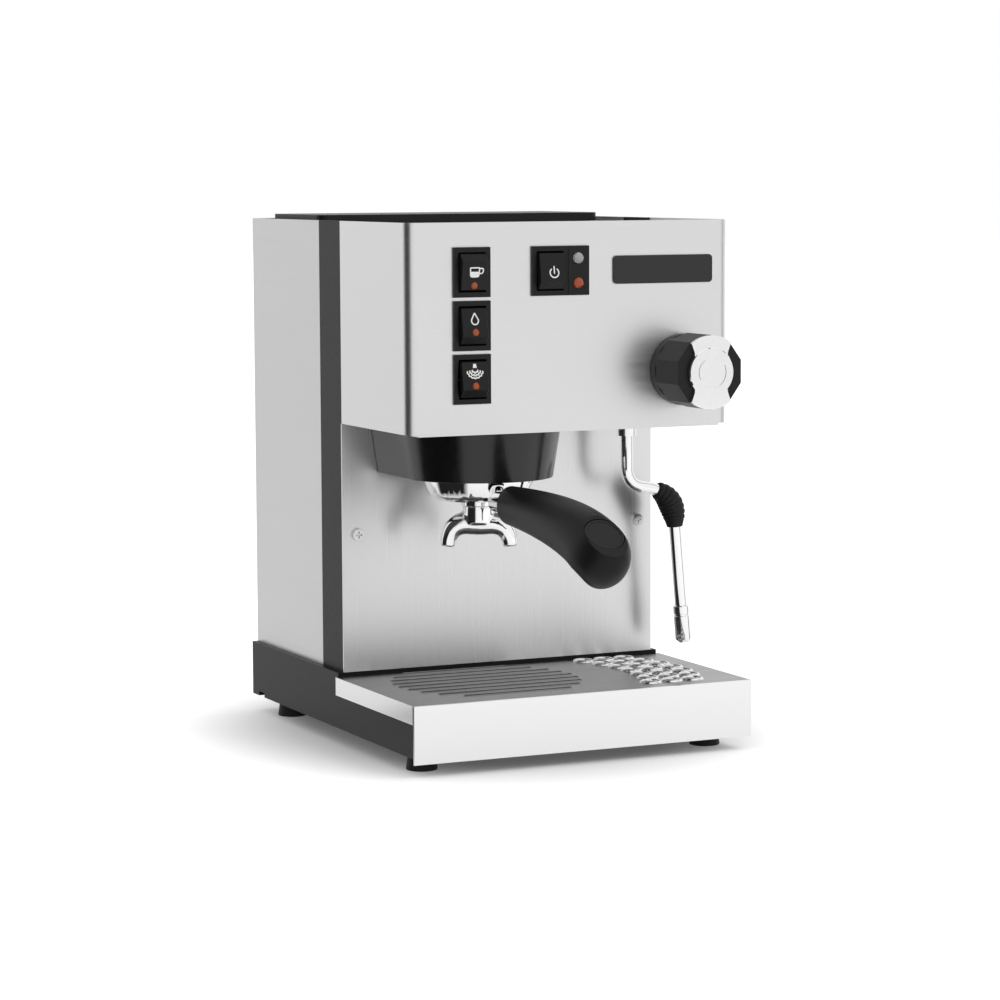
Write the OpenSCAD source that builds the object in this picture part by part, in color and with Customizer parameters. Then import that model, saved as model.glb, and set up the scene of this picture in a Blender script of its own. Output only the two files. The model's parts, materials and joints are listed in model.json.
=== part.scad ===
// Home espresso machine: one group, steam wand, drip tray and lift-out water tank.
// Frame: +X is the machine's right seen from the front, +Y runs to the back, +Z is up.
// The origin lies on the table between the feet.

/* [Body] */
// Width over the drip tray's front plate
body_w = 235; // [225:1:260]
// Depth from the front plate to the back panel
body_d = 286; // [276:1:320]
// Distance from the origin forward to the front plate
front_reach = 145; // [143:0.5:150]
// Height from the table to the top of the tank lid
body_h = 341; // [331:1:370]
// Thickness of the stainless sheets
sheet_t = 1.2; // [0.8:0.1:1.5]
// Thickness of the black steel
steel_t = 2; // [1.5:0.1:2.5]
// Outer radius of the sheet bends on the head
bend_r = 7.5; // [4:0.5:10]

/* [Base and feet] */
// Underside of the base above the table
base_z = 11.3; // [10:0.1:14]
// Top of the base above the table
base_top = 47.5; // [46:0.5:52]
// Ledge of the base outside the side panels
base_ledge = 4; // [3:0.5:5]
// Radius of a foot at the table
foot_r = 10; // [8:0.5:12]
// Feet, inwards from the machine's sides
foot_side = 18; // [16.5:0.5:27]
// Front feet, behind the front plate
foot_inset = 30; // [25:0.5:40]
// Back feet, in front of the back panel
foot_back = 34; // [31:1:56]

/* [Upright frame and backsplash] */
// Front edge of the black stripe
stripe_y = -17; // [-20:0.5:-14]
// Width of the black stripe
stripe_w = 36; // [30:1:40]
// Height of the backsplash screws above the base
splash_screw_rise = 89; // [60:0.5:120]
// Backsplash screws, inwards from the machine's sides
splash_screw_side = 16.5; // [15.5:0.5:25]

/* [Head] */
// Height of the head, up to the top of the tank lid
head_h = 132.4; // [127:0.2:137]
// Distance from the front plate back to the head's front
head_setback = 20.2; // [15:0.2:25]
// Drop of the head's front sheet below its sides
front_drop = 1.3; // [0.5:0.1:3]
// Width of the folded edge under the head's front
hem_w = 11.6; // [8:0.2:12]

/* [Top] */
// Rise of the tank lid above the side panels
lid_rise = 3; // [2:0.5:6]
// Depth of the cup tray below the rim
cup_recess = 3; // [2:0.5:5]
// Tank lid's ends, inwards from the machine's sides
lid_side = 15.5; // [14.5:0.5:18.5]
// Depth of the tank lid
lid_d = 90; // [86:1:94]
// Distance from the origin back to the lid's front edge
lid_y = 40; // [36:1:43]
// Corner radius of the tank lid
lid_r = 8; // [4:1:12]

/* [Drip tray] */
// Height of the front plate's lower edge
plate_z = 8.5; // [6:0.5:10]
// Thickness of the front plate
plate_t = 1.6; // [1.2:0.1:2]
// Depth of the grid top below the base's top
grid_drop = 2.6; // [2:0.1:5]
// Height of the grid's folded side strips
strip_h = 11.7; // [8:0.1:14]
// Wall of the tray tub
tub_t = 2; // [1.5:0.1:3]
// Radius of the round field of slots
slot_field_r = 61; // [50:1:66]
// Centre of the slot field, left of the middle
slot_field_x = -36; // [-42:1:-30]
// Number of slots
slot_count = 9; // [7:1:11]
// Width of one slot
slot_w = 5; // [4:0.2:6]
// Diameter of one pressed hole
grid_hole_d = 11; // [8:0.5:12]
// Number of holes in each arc
grid_hole_rows = 7; // [5:1:7]
// Radius of the hole arcs
grid_arc_r = 112; // [100:1:130]
// Outer arc of holes, inwards from the grid's side
grid_hole_side = 21; // [16:0.5:24]
// Distance between two arcs of holes
grid_arc_pitch = 15; // [13.5:0.1:16]

/* [Group] */
// Group axis, left of the middle
group_x = -39.3; // [-42:0.1:-35]
// Group axis, in front of the origin
group_y = -70; // [-74:0.5:-66]
// Half width of the shroud at its top
shroud_top_r = 52.4; // [51:0.2:53.2]
// Half width of the shroud at its bottom
shroud_low_r = 47.2; // [47.2:0.2:50]
// Depth of the shroud below the head
shroud_h = 32.6; // [28:0.2:34]
// Wall of the shroud
shroud_t = 2; // [1.5:0.1:2.2]
// Outer radius of the group head
group_r = 44.5; // [43.5:0.1:44.8]
// Radius of the group head's opening
group_bore_r = 36.1; // [36:0.1:36.5]

/* [Portafilter] */
// Outer radius of the portafilter body
filter_r = 35.5; // [35:0.1:35.7]
// Depth of the portafilter bowl's underside below the head
bowl_drop = 46.6; // [45.6:0.2:49.6]
// Angle of the handle to the right of straight ahead
handle_turn = 0.7; // [-4:0.1:12]
// Distance from the group axis to the handle's tip
handle_reach = 188; // [175:1:205]
// Fall of the handle's middle line from root to tip
handle_drop = 37; // [30:1:44]
// Width of the handle's end
handle_wide = 37.5; // [34:0.5:42]
// Height of the handle's end
handle_tall = 42.5; // [38:0.5:46]
// Angle of the spout across the machine
spout_turn = -25; // [-45:1:10]
// Half of the distance between the two spout tips
spout_half = 20; // [18:0.2:26]
// Depth of the spout tips below the bowl
spout_drop = 30; // [26:0.5:37]
// Height of the spout's arch at its middle
arch_h = 16; // [12:0.5:17]

/* [Steam] */
// Axis of the knob and of the wand, right of the middle
steam_x = 77.5; // [74:0.5:80]
// Height of the knob axis above the head's underside
knob_rise = 35.2; // [29:0.2:41]
// Radius of the knob
knob_r = 23.4; // [20:0.2:27]
// Length of the knob
knob_l = 38.5; // [34:0.5:44]
// Radius of the chrome disc on the knob
knob_disc_r = 15.3; // [12:0.1:18]
// Wand axis, in front of the origin
wand_y = -48.5; // [-52:0.5:-44]
// Diameter of the wand pipe
wand_d = 8; // [7.4:0.1:8.9]
// Drop of the wand's ball below the head
ball_drop = 8.1; // [7.6:0.1:10]
// Radius of the wand's ball
ball_r = 5.6; // [5.5:0.05:5.7]
// Depth of the wand's cranked stretch below its ball
crank_drop = 38.8; // [36.5:0.1:50]
// Reach of the crank to the right
crank_x = 33.4; // [28:0.1:37]
// Sideways lean of the lower pipe over its length
wand_lean = 9; // [4:0.5:9]
// Height of the nozzle's tip
nozzle_z = 56.5; // [54:0.5:70]
// Length of the nozzle
nozzle_l = 25; // [20:1:32]
// Diameter of the nozzle
nozzle_d = 10.8; // [10:0.2:12]
// Widest diameter of the rubber grip
grip_d = 16; // [12.5:0.2:20]
// Length of the grip below the crank's corner
grip_l = 25; // [18:0.5:30]

/* [Switches] */
// Centre of the brewing switches, left of the middle
switch_x = -68.5; // [-72:0.5:-60]
// Centre of the top switch below the top of the tank lid
switch_drop = 33.5; // [31:0.5:37]
// Distance between two switches
switch_pitch = 32.8; // [31:0.2:34]
// Width of a switch frame
switch_w = 24.7; // [23:0.1:26]
// Height of a switch frame
switch_h = 30.7; // [29:0.1:31]
// Rise of a switch frame above the head's front
switch_rise = 1.7; // [1.5:0.1:3]
// Depth of a switch body behind the head's front
switch_depth = 16; // [14:0.5:16]
// Tilt of a rocker to each side
rocker_tilt = 9; // [6:0.5:9]
// Left edge of the power switch, from the middle
power_x = -27.9; // [-30:0.5:-20]
// Width of the lamp holder beside the power switch
lamp_w = 14.6; // [13:0.2:16]
// Radius of a lamp lens
lamp_r = 3.5; // [2.5:0.1:4]
// Half of the distance between the two lamps
lamp_half = 7.7; // [6:0.1:9]
// Width of the badge plate
badge_w = 70; // [60:1:74]
// Height of the badge plate
badge_h = 17.7; // [14:0.1:20]
// Right end of the badge plate, inwards from the machine's side
badge_side = 18.9; // [16:0.1:25]

/* [Inside] */
// Radius of the boiler
boiler_r = 36; // [33:0.5:37]
// Room between the boiler and the cup tray
boiler_room = 32.8; // [27:0.2:38]
// Wall of the boiler
boiler_t = 3; // [2:0.5:4]
// Width of the water tank
tank_w = 108; // [90:1:108]
// Depth of the water tank
tank_d = 78; // [68:1:78]
// Wall of the water tank
tank_t = 2; // [1.5:0.1:3]
// Radius of the pump
pump_r = 20; // [18:0.5:22]
// Length of the pump
pump_l = 62; // [55:1:66]

/* [Hidden] */
$fn = 48;
// Clearances: running fit, gap between parts that move apart, cut overlap
run_gap = 0.06;
part_gap = 0.3;
cut = 1;

front_y = -front_reach;
back_y = front_y + body_d;
grid_z = base_top - grid_drop;
base_w = body_w - 2 * (sheet_t + 0.8);
panel_w = base_w - 2 * base_ledge;
head_y = front_y + head_setback;
head_z = body_h - head_h;
rim_z = body_h - lid_rise;
lid_w = body_w - 2 * lid_side;
splash_screw_x = body_w / 2 - splash_screw_side;
splash_screw_z = base_top + splash_screw_rise;
cup_z = rim_z - cup_recess;
stripe_back = stripe_y + stripe_w;
splash_y = stripe_y;
flange_y = splash_y + sheet_t;
base_front = front_y + plate_t + 0.4;
foot_x = body_w / 2 - foot_side;
feet_at = [for (x = [-foot_x, foot_x], y = [front_y + foot_inset, back_y - foot_back]) [x, y]];
wall_in = panel_w / 2 - sheet_t;

// Bracket and boiler above the group
bracket_z = head_z + 5.4;
bracket_t = 3;
bracket_half = 61;
// Room between the switch bodies and the bracket
bracket_room = 2.5;
bracket_x = [group_x - bracket_half, group_x + bracket_half];
boiler_z = bracket_z + bracket_t;
cup_low = cup_z - sheet_t;
boiler_top = cup_low - boiler_room;
neck_r = 14;
bolt_r = 2.5;
bolt_ring_r = boiler_r + 4.6;
bolts_at = [for (a = [45:90:315]) [group_x + bolt_ring_r * cos(a), group_y + bolt_ring_r * sin(a)]];

// Group and portafilter levels, measured down from the head
shroud_z = head_z - shroud_h;
bowl_z = head_z - bowl_drop;
handle_z = bowl_z - 0.2;
spout_tip_z = bowl_z - spout_drop;
group_low = shroud_z + 2;
lug_z = shroud_z + 8;
lug_h = 4;
lug_r = filter_r + 4.9;
lug_half_angle = 16;
channel_r = lug_r + 0.5;
body_top = shroud_z + 14.5;
basket_t = 0.8;
basket_r = 29.5;
basket_rim_r = 34;
basket_depth = 22.5;
gasket_low = body_top + basket_t + part_gap;
gasket_h = 8;
gasket_top = gasket_low + gasket_h;
screen_r = 27.5;

// Steam levels
knob_z = head_z + knob_rise;
knob_back = head_y - 0.9;
knob_front = knob_back - knob_l;
valve_r = 11;
neck_out = 2.2;
spindle_r = 4;
valve_back = wand_y - 12;
ball_z = head_z - ball_drop;
crank_z = ball_z - crank_drop;
nut_low = ball_z - 4.5;
nut_top = ball_z + ball_r + 3.5;
nut_r = 9;
tilt_room = 0.95;
ring_in = wand_d / 2 + tilt_room;
ring_out = ring_in + 0.6;
ring_top = nut_low + 1.5;
collar_r = ring_out + 0.6;
collar_top = ball_z + 3.5;

// Wand route from the ball to the nozzle's tip
wand_corners = [
    [steam_x, wand_y, ball_z],
    [steam_x, wand_y, crank_z + 1],
    [steam_x + crank_x, wand_y, crank_z - 2.5],
    [steam_x + crank_x + wand_lean, wand_y, nozzle_z]
];
wand_dir = unit(wand_corners[3] - wand_corners[2]);
nozzle_top = wand_corners[3] - wand_dir * nozzle_l;
grip_low = wand_corners[2] + wand_dir * grip_l;
grip_start = 3;
wand_bend = 13;
grip_bend = 21;
grip_line = corner(wand_corners[1], wand_corners[2], nozzle_top, grip_bend, 12);
wand_line = concat([wand_corners[0]], corner(wand_corners[0], wand_corners[1], wand_corners[2], wand_bend, 8),
    grip_line, [nozzle_top]);

// Switches
switch_z = body_h - switch_drop;
rocker_w = switch_w - 7.2;
rocker_half = switch_h / 2 - 4.6;
rocker_out = 5.2;
pivot_y = head_y - 0.6;
pin_r = 1.2;
power_mid = power_x + switch_w / 2;
lamp_x = power_x + switch_w + lamp_w / 2 - 0.3;
badge_x = body_w / 2 - badge_side - badge_w / 2;
badge_z = switch_z - 0.1;

// Tank and pump bay
tank_x1 = lid_w / 2 - 6;
tank_x0 = tank_x1 - tank_w;
tank_y0 = lid_y + lid_d / 2 - tank_d / 2;
tank_y1 = tank_y0 + tank_d;
tank_z = base_top + part_gap;
tank_top = cup_z - 9;
hose_r = 4;
hose_y = (tank_y0 + tank_y1) / 2 + 14;
hose_x = tank_x0 - 9;
hose_end_z = tank_top - 12;
pump_x = -62;
pump_y = 56;
pump_z = base_top + 13 + pump_r;
pipe_d = 6;
port_z = boiler_top - 40;
gland_x = 33.5 - body_w / 2;
gland_z = base_top + 20;

// ---- Shapes and curves ----

// Unit vector along v
function unit(v) = v / norm(v);

// Part of s that is square to the direction f, as a unit vector
function square_to(s, f) = unit(s - f * (s * f));

// Sideways vectors carried along a list of directions
function carry(dirs, s, i = 0) =
    i == len(dirs) ? [] : let (n = square_to(s, dirs[i])) concat([n], carry(dirs, n, i + 1));

// Points that round the corner b between a and c
function corner(a, b, c, r, m) =
    [for (i = [0:m]) let (t = i / m, p = b + unit(a - b) * r, q = b + unit(c - b) * r)
        (1 - t) * (1 - t) * p + 2 * t * (1 - t) * b + t * t * q];

// Route through a list of corners, each rounded over the length r
function route(pts, r, m = 5) =
    let (last = len(pts) - 1)
    concat([pts[0]], [for (i = [1:last - 1]) each corner(pts[i - 1], pts[i], pts[i + 1], r, m)], [pts[last]]);

// Directions along a route
function headings(pts) =
    let (last = len(pts) - 1) [for (i = [0:last]) unit(pts[min(i + 1, last)] - pts[max(i - 1, 0)])];

// Box between two corners, given as a span in each direction
module block(x, y, z) {
    translate([x[0], y[0], z[0]]) cube([x[1] - x[0], y[1] - y[0], z[1] - z[0]]);
}

// Upright cylinder at a place in plan, over a span of heights
module rod_z(at, r, z) {
    translate([at[0], at[1], z[0]]) cylinder(r = r, h = z[1] - z[0]);
}

// Cylinder along Y at a place seen from the front, over a span of depths
module rod_y(at, r, y) {
    translate([at[0], y[0], at[1]]) rotate([-90, 0, 0]) cylinder(r = r, h = y[1] - y[0]);
}

// Cylinder along X at a place seen from the side, over a span
module rod_x(at, r, x) {
    translate([x[0], at[0], at[1]]) rotate([0, 90, 0]) cylinder(r = r, h = x[1] - x[0]);
}

// Flat plate with rounded corners, centred in plan
module round_plate(w, d, r, t) {
    union() {
        translate([-w / 2 + r, -d / 2, 0]) cube([w - 2 * r, d, t]);
        translate([-w / 2, -d / 2 + r, 0]) cube([w, d - 2 * r, t]);
        for (x = [-w / 2 + r, w / 2 - r], y = [-d / 2 + r, d / 2 - r])
            translate([x, y, 0]) cylinder(r = r, h = t);
    }
}

// Solid swept along points, with an elliptical section of its own width and height at each, square to the
// route or to the directions in leads
module loft(pts, widths, heights, side = [1, 0, 0], n = 12, leads = undef) {
    last = len(pts) - 1;
    dirs = is_undef(leads) ? headings(pts) : leads;
    sides = carry(dirs, side);
    rings = [for (i = [0:last]) let (up = cross(dirs[i], sides[i])) for (k = [0:n - 1])
        pts[i] + sides[i] * cos(360 * k / n) * widths[i] / 2 + up * sin(360 * k / n) * heights[i] / 2];
    walls = [for (i = [0:last - 1], k = [0:n - 1])
        [i * n + k, (i + 1) * n + k, (i + 1) * n + (k + 1) % n, i * n + (k + 1) % n]];
    polyhedron(rings, concat([[for (k = [0:n - 1]) k]], walls, [[for (k = [n - 1:-1:0]) last * n + k]]));
}

// Round tube filled solid, swept along points
module tube(pts, d, side = [1, 0, 0], n = 10) {
    loft(pts, [for (p = pts) d], [for (p = pts) d], side, n);
}

// Children placed on the group axis, turned with the handle
module on_handle_axis() {
    translate([group_x, group_y, 0]) rotate([0, 0, handle_turn]) children();
}

// Pan-head screw along Y: the head stands in front of y, the shank behind it
module pan_screw(at, y, dir, head_r, head_h, shank_r, shank_l) {
    rod_y(at, head_r, dir < 0 ? [y - head_h, y] : [y, y + head_h]);
    rod_y(at, shank_r, dir < 0 ? [y, y + shank_l] : [y - shank_l, y]);
}

// ---- Base ----

module base_frame() color("#2c2c2e") difference() {
    side_z = grid_z - sheet_t - part_gap - 0.5;
    union() {
        block([-base_w / 2, base_w / 2], [base_front, back_y], [base_z, base_z + steel_t]);
        for (s = [-1, 1]) {
            x = s < 0 ? [-base_w / 2, -base_w / 2 + steel_t] : [base_w / 2 - steel_t, base_w / 2];
            block(x, [base_front, stripe_y], [base_z, side_z]);
            block(x, [stripe_y, back_y], [base_z, base_top]);
            block([s * 80 - 3, s * 80 + 3], [base_front + 6, stripe_y - 8], [base_z, tub_low - part_gap]);
        }
        block([-base_w / 2, base_w / 2], [back_y - steel_t, back_y], [base_z, base_top]);
        block([-base_w / 2, base_w / 2], [stripe_y, stripe_y + steel_t], [base_z, base_top]);
        block([-base_w / 2, base_w / 2], [stripe_y, back_y], [base_top - steel_t, base_top]);
    }
    for (p = feet_at) rod_z(p, foot_bolt_r + 0.1, [base_z - cut, base_z + steel_t + cut]);
    for (s = [-1, 1]) block([s * base_w / 2 - 4, s * base_w / 2 + 4], [back_y - 22, back_y - 12],
        [base_z - cut, base_z + 3]);
}

foot_bolt_r = 2;
tub_low = base_z + steel_t + 4;

module feet() color("#18181a") for (p = feet_at) difference() {
    translate([p[0], p[1], 0]) cylinder(r1 = foot_r, r2 = foot_r - 1.6, h = base_z);
    rod_z(p, foot_bolt_r + 0.1, [-cut, base_z + cut]);
    rod_z(p, 4.6, [-cut, base_z - 4]);
}

module foot_screws() color("#9a9a9c") for (p = feet_at) {
    rod_z(p, 4.2, [base_z - 6.5, base_z - 4]);
    rod_z(p, foot_bolt_r, [base_z - 4, base_z + steel_t + 2.4]);
    difference() {
        translate([p[0], p[1], base_z + steel_t]) cylinder(r = 4, h = 2.2, $fn = 6);
        rod_z(p, foot_bolt_r + 0.02, [base_z, base_z + steel_t + 5]);
    }
}

// ---- Upright frame, panels and backsplash ----

module upright_frame() color("#333335") difference() {
    flange_w = 28;
    side = panel_w / 2;
    union() {
        for (s = [-1, 1]) {
            web = s < 0 ? [-side, -side + steel_t] : [side - steel_t, side];
            front = s < 0 ? [-side, -side + flange_w] : [side - flange_w, side];
            rear = s < 0 ? [-side, -side + 14] : [side - 14, side];
            block(web, [flange_y, stripe_back], [base_top, head_z]);
            block(web, [stripe_y, stripe_back], [head_z, rim_z]);
            block(front, [flange_y, flange_y + steel_t], [base_top, cup_low]);
            block(rear, [stripe_back - steel_t, stripe_back], [base_top, cup_low]);
            block(front, [flange_y, stripe_back], [base_top, base_top + steel_t]);
        }
        block([-side, side], [flange_y, flange_y + steel_t], [head_z - 4, cup_low]);
        block([-side, side], [flange_y, stripe_back], [cup_low - steel_t, cup_low]);
    }
    for (s = [-1, 1]) rod_y([s * splash_screw_x, splash_screw_z], 2.1, [flange_y - cut, flange_y + steel_t + cut]);
    rod_y([group_x, port_z], pipe_d / 2 + 3, [flange_y - cut, flange_y + steel_t + cut]);
}

// Side sheet with its folded rear edge; s is -1 on the left and 1 on the right
module side_panel(s) {
    fold_w = 12;
    x = s < 0 ? [-panel_w / 2, -wall_in] : [wall_in, panel_w / 2];
    fold_x = s < 0 ? [-panel_w / 2, -panel_w / 2 + fold_w] : [panel_w / 2 - fold_w, panel_w / 2];
    difference() {
        union() {
            block(x, [stripe_back, back_y - sheet_t], [base_top, rim_z]);
            block(fold_x, [back_y - 2 * sheet_t, back_y - sheet_t], [base_top, rim_z]);
        }
        for (z = back_screw_z)
            rod_y([s * back_screw_x, z], 1.6, [back_y - 3 * sheet_t, back_y]);
    }
}

back_screw_x = panel_w / 2 - 7;
back_screw_z = [base_top + 20, (base_top + rim_z) / 2, rim_z - 18];

module side_panel_left() color("#c9c9ca") side_panel(-1);

module side_panel_right() color("#c9c9ca") side_panel(1);

module back_panel() color("#c4c4c5") difference() {
    block([-panel_w / 2, panel_w / 2], [back_y - sheet_t, back_y], [base_top, rim_z]);
    for (s = [-1, 1], z = back_screw_z) rod_y([s * back_screw_x, z], 1.6, [back_y - 2 * sheet_t, back_y + cut]);
    rod_y([gland_x, gland_z], gland_r + 0.1, [back_y - 2 * sheet_t, back_y + cut]);
    for (i = [0:5], s = [-1, 1]) block([s * 40 - 22, s * 40 + 22], [back_y - 2 * sheet_t, back_y + cut],
        [rim_z - 70 + i * 8, rim_z - 67 + i * 8]);
}

module back_screws() color("#a4a4a6") for (s = [-1, 1], z = back_screw_z)
    pan_screw([s * back_screw_x, z], back_y, 1, 3.4, 2, 1.5, 6);

module backsplash() color("#bdbdbe") difference() {
    half = panel_w / 2 - steel_t - 0.2;
    union() {
        block([-panel_w / 2, panel_w / 2], [splash_y, flange_y], [base_top, head_z]);
        block([-half, half], [splash_y, flange_y], [head_z - cut, bracket_z - 0.2]);
    }
    for (s = [-1, 1]) rod_y([s * splash_screw_x, splash_screw_z], 2.1, [splash_y - cut, flange_y + cut]);
}

module backsplash_screws() color("#b4b4b6") for (s = [-1, 1]) difference() {
    pan_screw([s * splash_screw_x, splash_screw_z], splash_y, -1, 4, 2.2, 2, 7);
    for (a = [0, 90]) translate([s * splash_screw_x, splash_y - 2.2, splash_screw_z]) rotate([0, a, 0])
        cube([4.4, 2.2, 0.9], center = true);
}

// ---- Head and top ----

// Outline of the head in plan, set in by a distance, over a span of heights
module head_block(inset, z) {
    r = bend_r - inset;
    x = panel_w / 2 - bend_r;
    union() {
        block([-x, x], [head_y + inset, stripe_y], z);
        block([-x - r, x + r], [head_y + bend_r, stripe_y], z);
        for (s = [-1, 1]) rod_z([s * x, head_y + bend_r], r, z);
    }
}

module head_cover() color("#d6d6d7") difference() {
    x = panel_w / 2 - bend_r;
    union() {
        difference() {
            head_block(0, [head_z, rim_z]);
            head_block(sheet_t, [head_z - cut, rim_z + cut]);
            block([-wall_in, wall_in], [head_y + bend_r, stripe_y + cut], [head_z - cut, rim_z + cut]);
        }
        block([-x, x], [head_y, head_y + sheet_t], [head_z - front_drop, head_z + cut]);
        difference() {
            block([-x, x], [head_y, head_y + sheet_t + hem_w], [head_z - front_drop, head_z - front_drop + sheet_t]);
            rod_z([group_x, group_y], shroud_top_r + 0.2, [head_z - front_drop - cut, head_z + cut]);
        }
    }
    for (i = [0:2]) switch_hole([switch_x, switch_z - i * switch_pitch]);
    switch_hole([power_mid, switch_z]);
    for (s = [-1, 1]) rod_y([lamp_x, switch_z + s * lamp_half], lamp_r + 0.6, [head_y - cut, head_y + sheet_t + cut]);
    rod_y([steam_x, knob_z], valve_neck_r + 0.1, [head_y - cut, head_y + sheet_t + cut]);
}

valve_neck_r = 7.5;

// Opening in the head's front for one switch body
module switch_hole(at) {
    w = switch_w - 3.4;
    h = switch_h - 3.4;
    block([at[0] - w / 2, at[0] + w / 2], [head_y - cut, head_y + sheet_t + cut], [at[1] - h / 2, at[1] + h / 2]);
}

module head_floor() color("#b8b8ba") difference() {
    union() {
        block([-wall_in, wall_in], [head_y + bend_r, stripe_y], [head_z, head_z + sheet_t]);
        block([-wall_in + bend_r, wall_in - bend_r], [head_y + sheet_t, head_y + bend_r], [head_z, head_z + sheet_t]);
        for (s = [-1, 1]) {
            x = s < 0 ? [-wall_in, -wall_in + sheet_t] : [wall_in - sheet_t, wall_in];
            block(x, [head_y + bend_r, stripe_y], [head_z, head_z + 10]);
        }
    }
    rod_z([group_x, group_y], group_r + 0.5, [head_z - cut, head_z + 2 * sheet_t]);
    rod_z([steam_x, wand_y], nut_r + 1.5, [head_z - cut, head_z + 2 * sheet_t]);
    rod_z(drain_at, drain_r + 0.3, [head_z - cut, head_z + 2 * sheet_t]);
}

module cup_tray() color("#c2c2c4") difference() {
    half = panel_w / 2 - steel_t - 0.2;
    y = [head_y + bend_r, back_y - 2 * sheet_t - 0.4];
    hatch_x = lid_w / 2 - 4;
    union() {
        block([-half, half], [stripe_y - 0.2, y[1]], [cup_low, cup_z]);
        head_block(sheet_t + 0.2, [cup_low, cup_z]);
        for (s = [-1, 1]) {
            fold = s < 0 ? [-half, -half + sheet_t] : [half - sheet_t, half];
            block(fold, [y[0], flange_y - 0.2], [cup_z - 9, cup_z]);
            block(fold, [stripe_back + 0.2, y[1]], [cup_z - 9, cup_z]);
        }
    }
    block([-hatch_x, hatch_x], [lid_y + 4, lid_y + lid_d - 4], [cup_low - cut, cup_z + cut]);
    for (i = [-4:4]) block([i * 20 - 6, i * 20 + 6], [head_y + 30, head_y + 34], [cup_low - cut, cup_z + cut]);
    for (i = [-4:4]) block([i * 20 - 6, i * 20 + 6], [head_y + 60, head_y + 64], [cup_low - cut, cup_z + cut]);
}

module tank_lid() color("#202022") translate([0, lid_y + lid_d / 2, 0]) {
    plug_w = lid_w - 8 - 2 * part_gap - 1;
    plug_d = lid_d - 8 - 2 * part_gap - 1;
    translate([0, 0, cup_z + part_gap]) round_plate(lid_w, lid_d, lid_r, body_h - cup_z - part_gap);
    difference() {
        translate([-plug_w / 2, -plug_d / 2, cup_low - 4]) cube([plug_w, plug_d, 4 + sheet_t + part_gap]);
        translate([-plug_w / 2 + 2, -plug_d / 2 + 2, cup_low - 5]) cube([plug_w - 4, plug_d - 4, 5 + sheet_t + part_gap]);
    }
}

// ---- Water tank and pump ----

module water_tank() color("#dfe3e6") difference() {
    block([tank_x0, tank_x1], [tank_y0, tank_y1], [tank_z, tank_top]);
    block([tank_x0 + tank_t, tank_x1 - tank_t], [tank_y0 + tank_t, tank_y1 - tank_t], [tank_z + tank_t, tank_top + cut]);
}

module tank_hose() color("#e8e8e6") {
    inside_x = tank_x0 + tank_t + hose_r + 0.1;
    pts = [[inside_x, hose_y, tank_z + tank_t + 14], [inside_x, hose_y, tank_top + hose_r + 0.5],
        [hose_x, hose_y, tank_top + hose_r + 0.5], [hose_x, hose_y, hose_end_z]];
    tube(route(pts, 6, 4), 2 * hose_r);
    rod_z([inside_x + 2, hose_y], hose_r + 2, [tank_z + tank_t, tank_z + tank_t + 14]);
}

module pump_hose() color("#e8e8e6") {
    bend_z = base_top + 90;
    inlet_y = pump_y + pump_l;
    pts = [[hose_x, hose_y, hose_end_z - part_gap], [hose_x, hose_y, bend_z],
        [pump_x, inlet_y + 10, bend_z - 20], [pump_x, inlet_y + 10, pump_z], [pump_x, inlet_y, pump_z]];
    tube(route(pts, 7, 4), 2 * hose_r);
}

module water_pump() color("#c9a24a") {
    rod_y([pump_x, pump_z], pump_r, [pump_y + 10, pump_y + pump_l - 14]);
    rod_y([pump_x, pump_z], pump_r - 8, [pump_y + pump_l - 14, pump_y + pump_l]);
    rod_y([pump_x, pump_z], pump_r - 10, [pump_y, pump_y + 10]);
    block([pump_x - pump_r, pump_x + pump_r], [pump_y + 18, pump_y + pump_l - 22], [pump_z - pump_r - 3, pump_z + pump_r]);
}

module pump_mounts() color("#1b1b1d") for (s = [-1, 1])
    rod_z([pump_x + s * 12, pump_y + pump_l / 2 - 2], 6, [base_top, pump_z - pump_r - 3]);

module pressure_pipe() color("#b87333") {
    rise_y = stripe_back - 13;
    pts = [[pump_x, pump_y, pump_z], [pump_x, rise_y, pump_z], [pump_x, rise_y, port_z - 22],
        [group_x, rise_y, port_z], [group_x, group_y + boiler_r + port_l, port_z]];
    tube(route(pts, 8, 4), pipe_d);
}

port_l = 12;

module cable_gland() color("#1c1c1e") difference() {
    union() {
        rod_y([gland_x, gland_z], gland_r, [back_y - 6, back_y]);
        translate([gland_x, back_y, gland_z]) rotate([-90, 0, 0]) cylinder(r = gland_r + 3, h = 5, $fn = 6);
        translate([gland_x, back_y - 6 - sheet_t, gland_z]) rotate([-90, 0, 0])
            cylinder(r = gland_r + 2, h = 6, $fn = 6);
    }
    rod_y([gland_x, gland_z], gland_bore_r, [back_y - 20, back_y + 20]);
}

gland_r = 7;
gland_bore_r = 3.8;

// ---- Drip tray ----

module drip_tub() color("#1f1f21") difference() {
    half = base_w / 2 - steel_t - part_gap;
    y = [front_y + plate_t, stripe_y - part_gap];
    block([-half, half], y, [tub_low, grid_z - sheet_t - part_gap]);
    block([-half + tub_t, half - tub_t], [y[0] + tub_t, y[1] - tub_t], [tub_low + tub_t, grid_z]);
}

module tray_front() color("#dcdcdd") translate([0, front_y + plate_t / 2, plate_z]) {
    round_plate(body_w, plate_t, plate_t / 2 - 0.05, grid_z - plate_z);
}

// Slot or bar along X with round ends
module slot_cut(x, y, w, z) {
    block([x[0] + w / 2, x[1] - w / 2], [y - w / 2, y + w / 2], z);
    for (e = [x[0] + w / 2, x[1] - w / 2]) rod_z([e, y], w / 2, z);
}

grid_front = front_y + plate_t + 0.3;
grid_back = stripe_y - 0.4;
grid_mid = (grid_front + grid_back) / 2;
slot_step = 2 * (slot_field_r - 0.7) / (slot_count + 1);
hole_step = 0.77 * (grid_back - grid_front) / (grid_hole_rows - 1);

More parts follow.
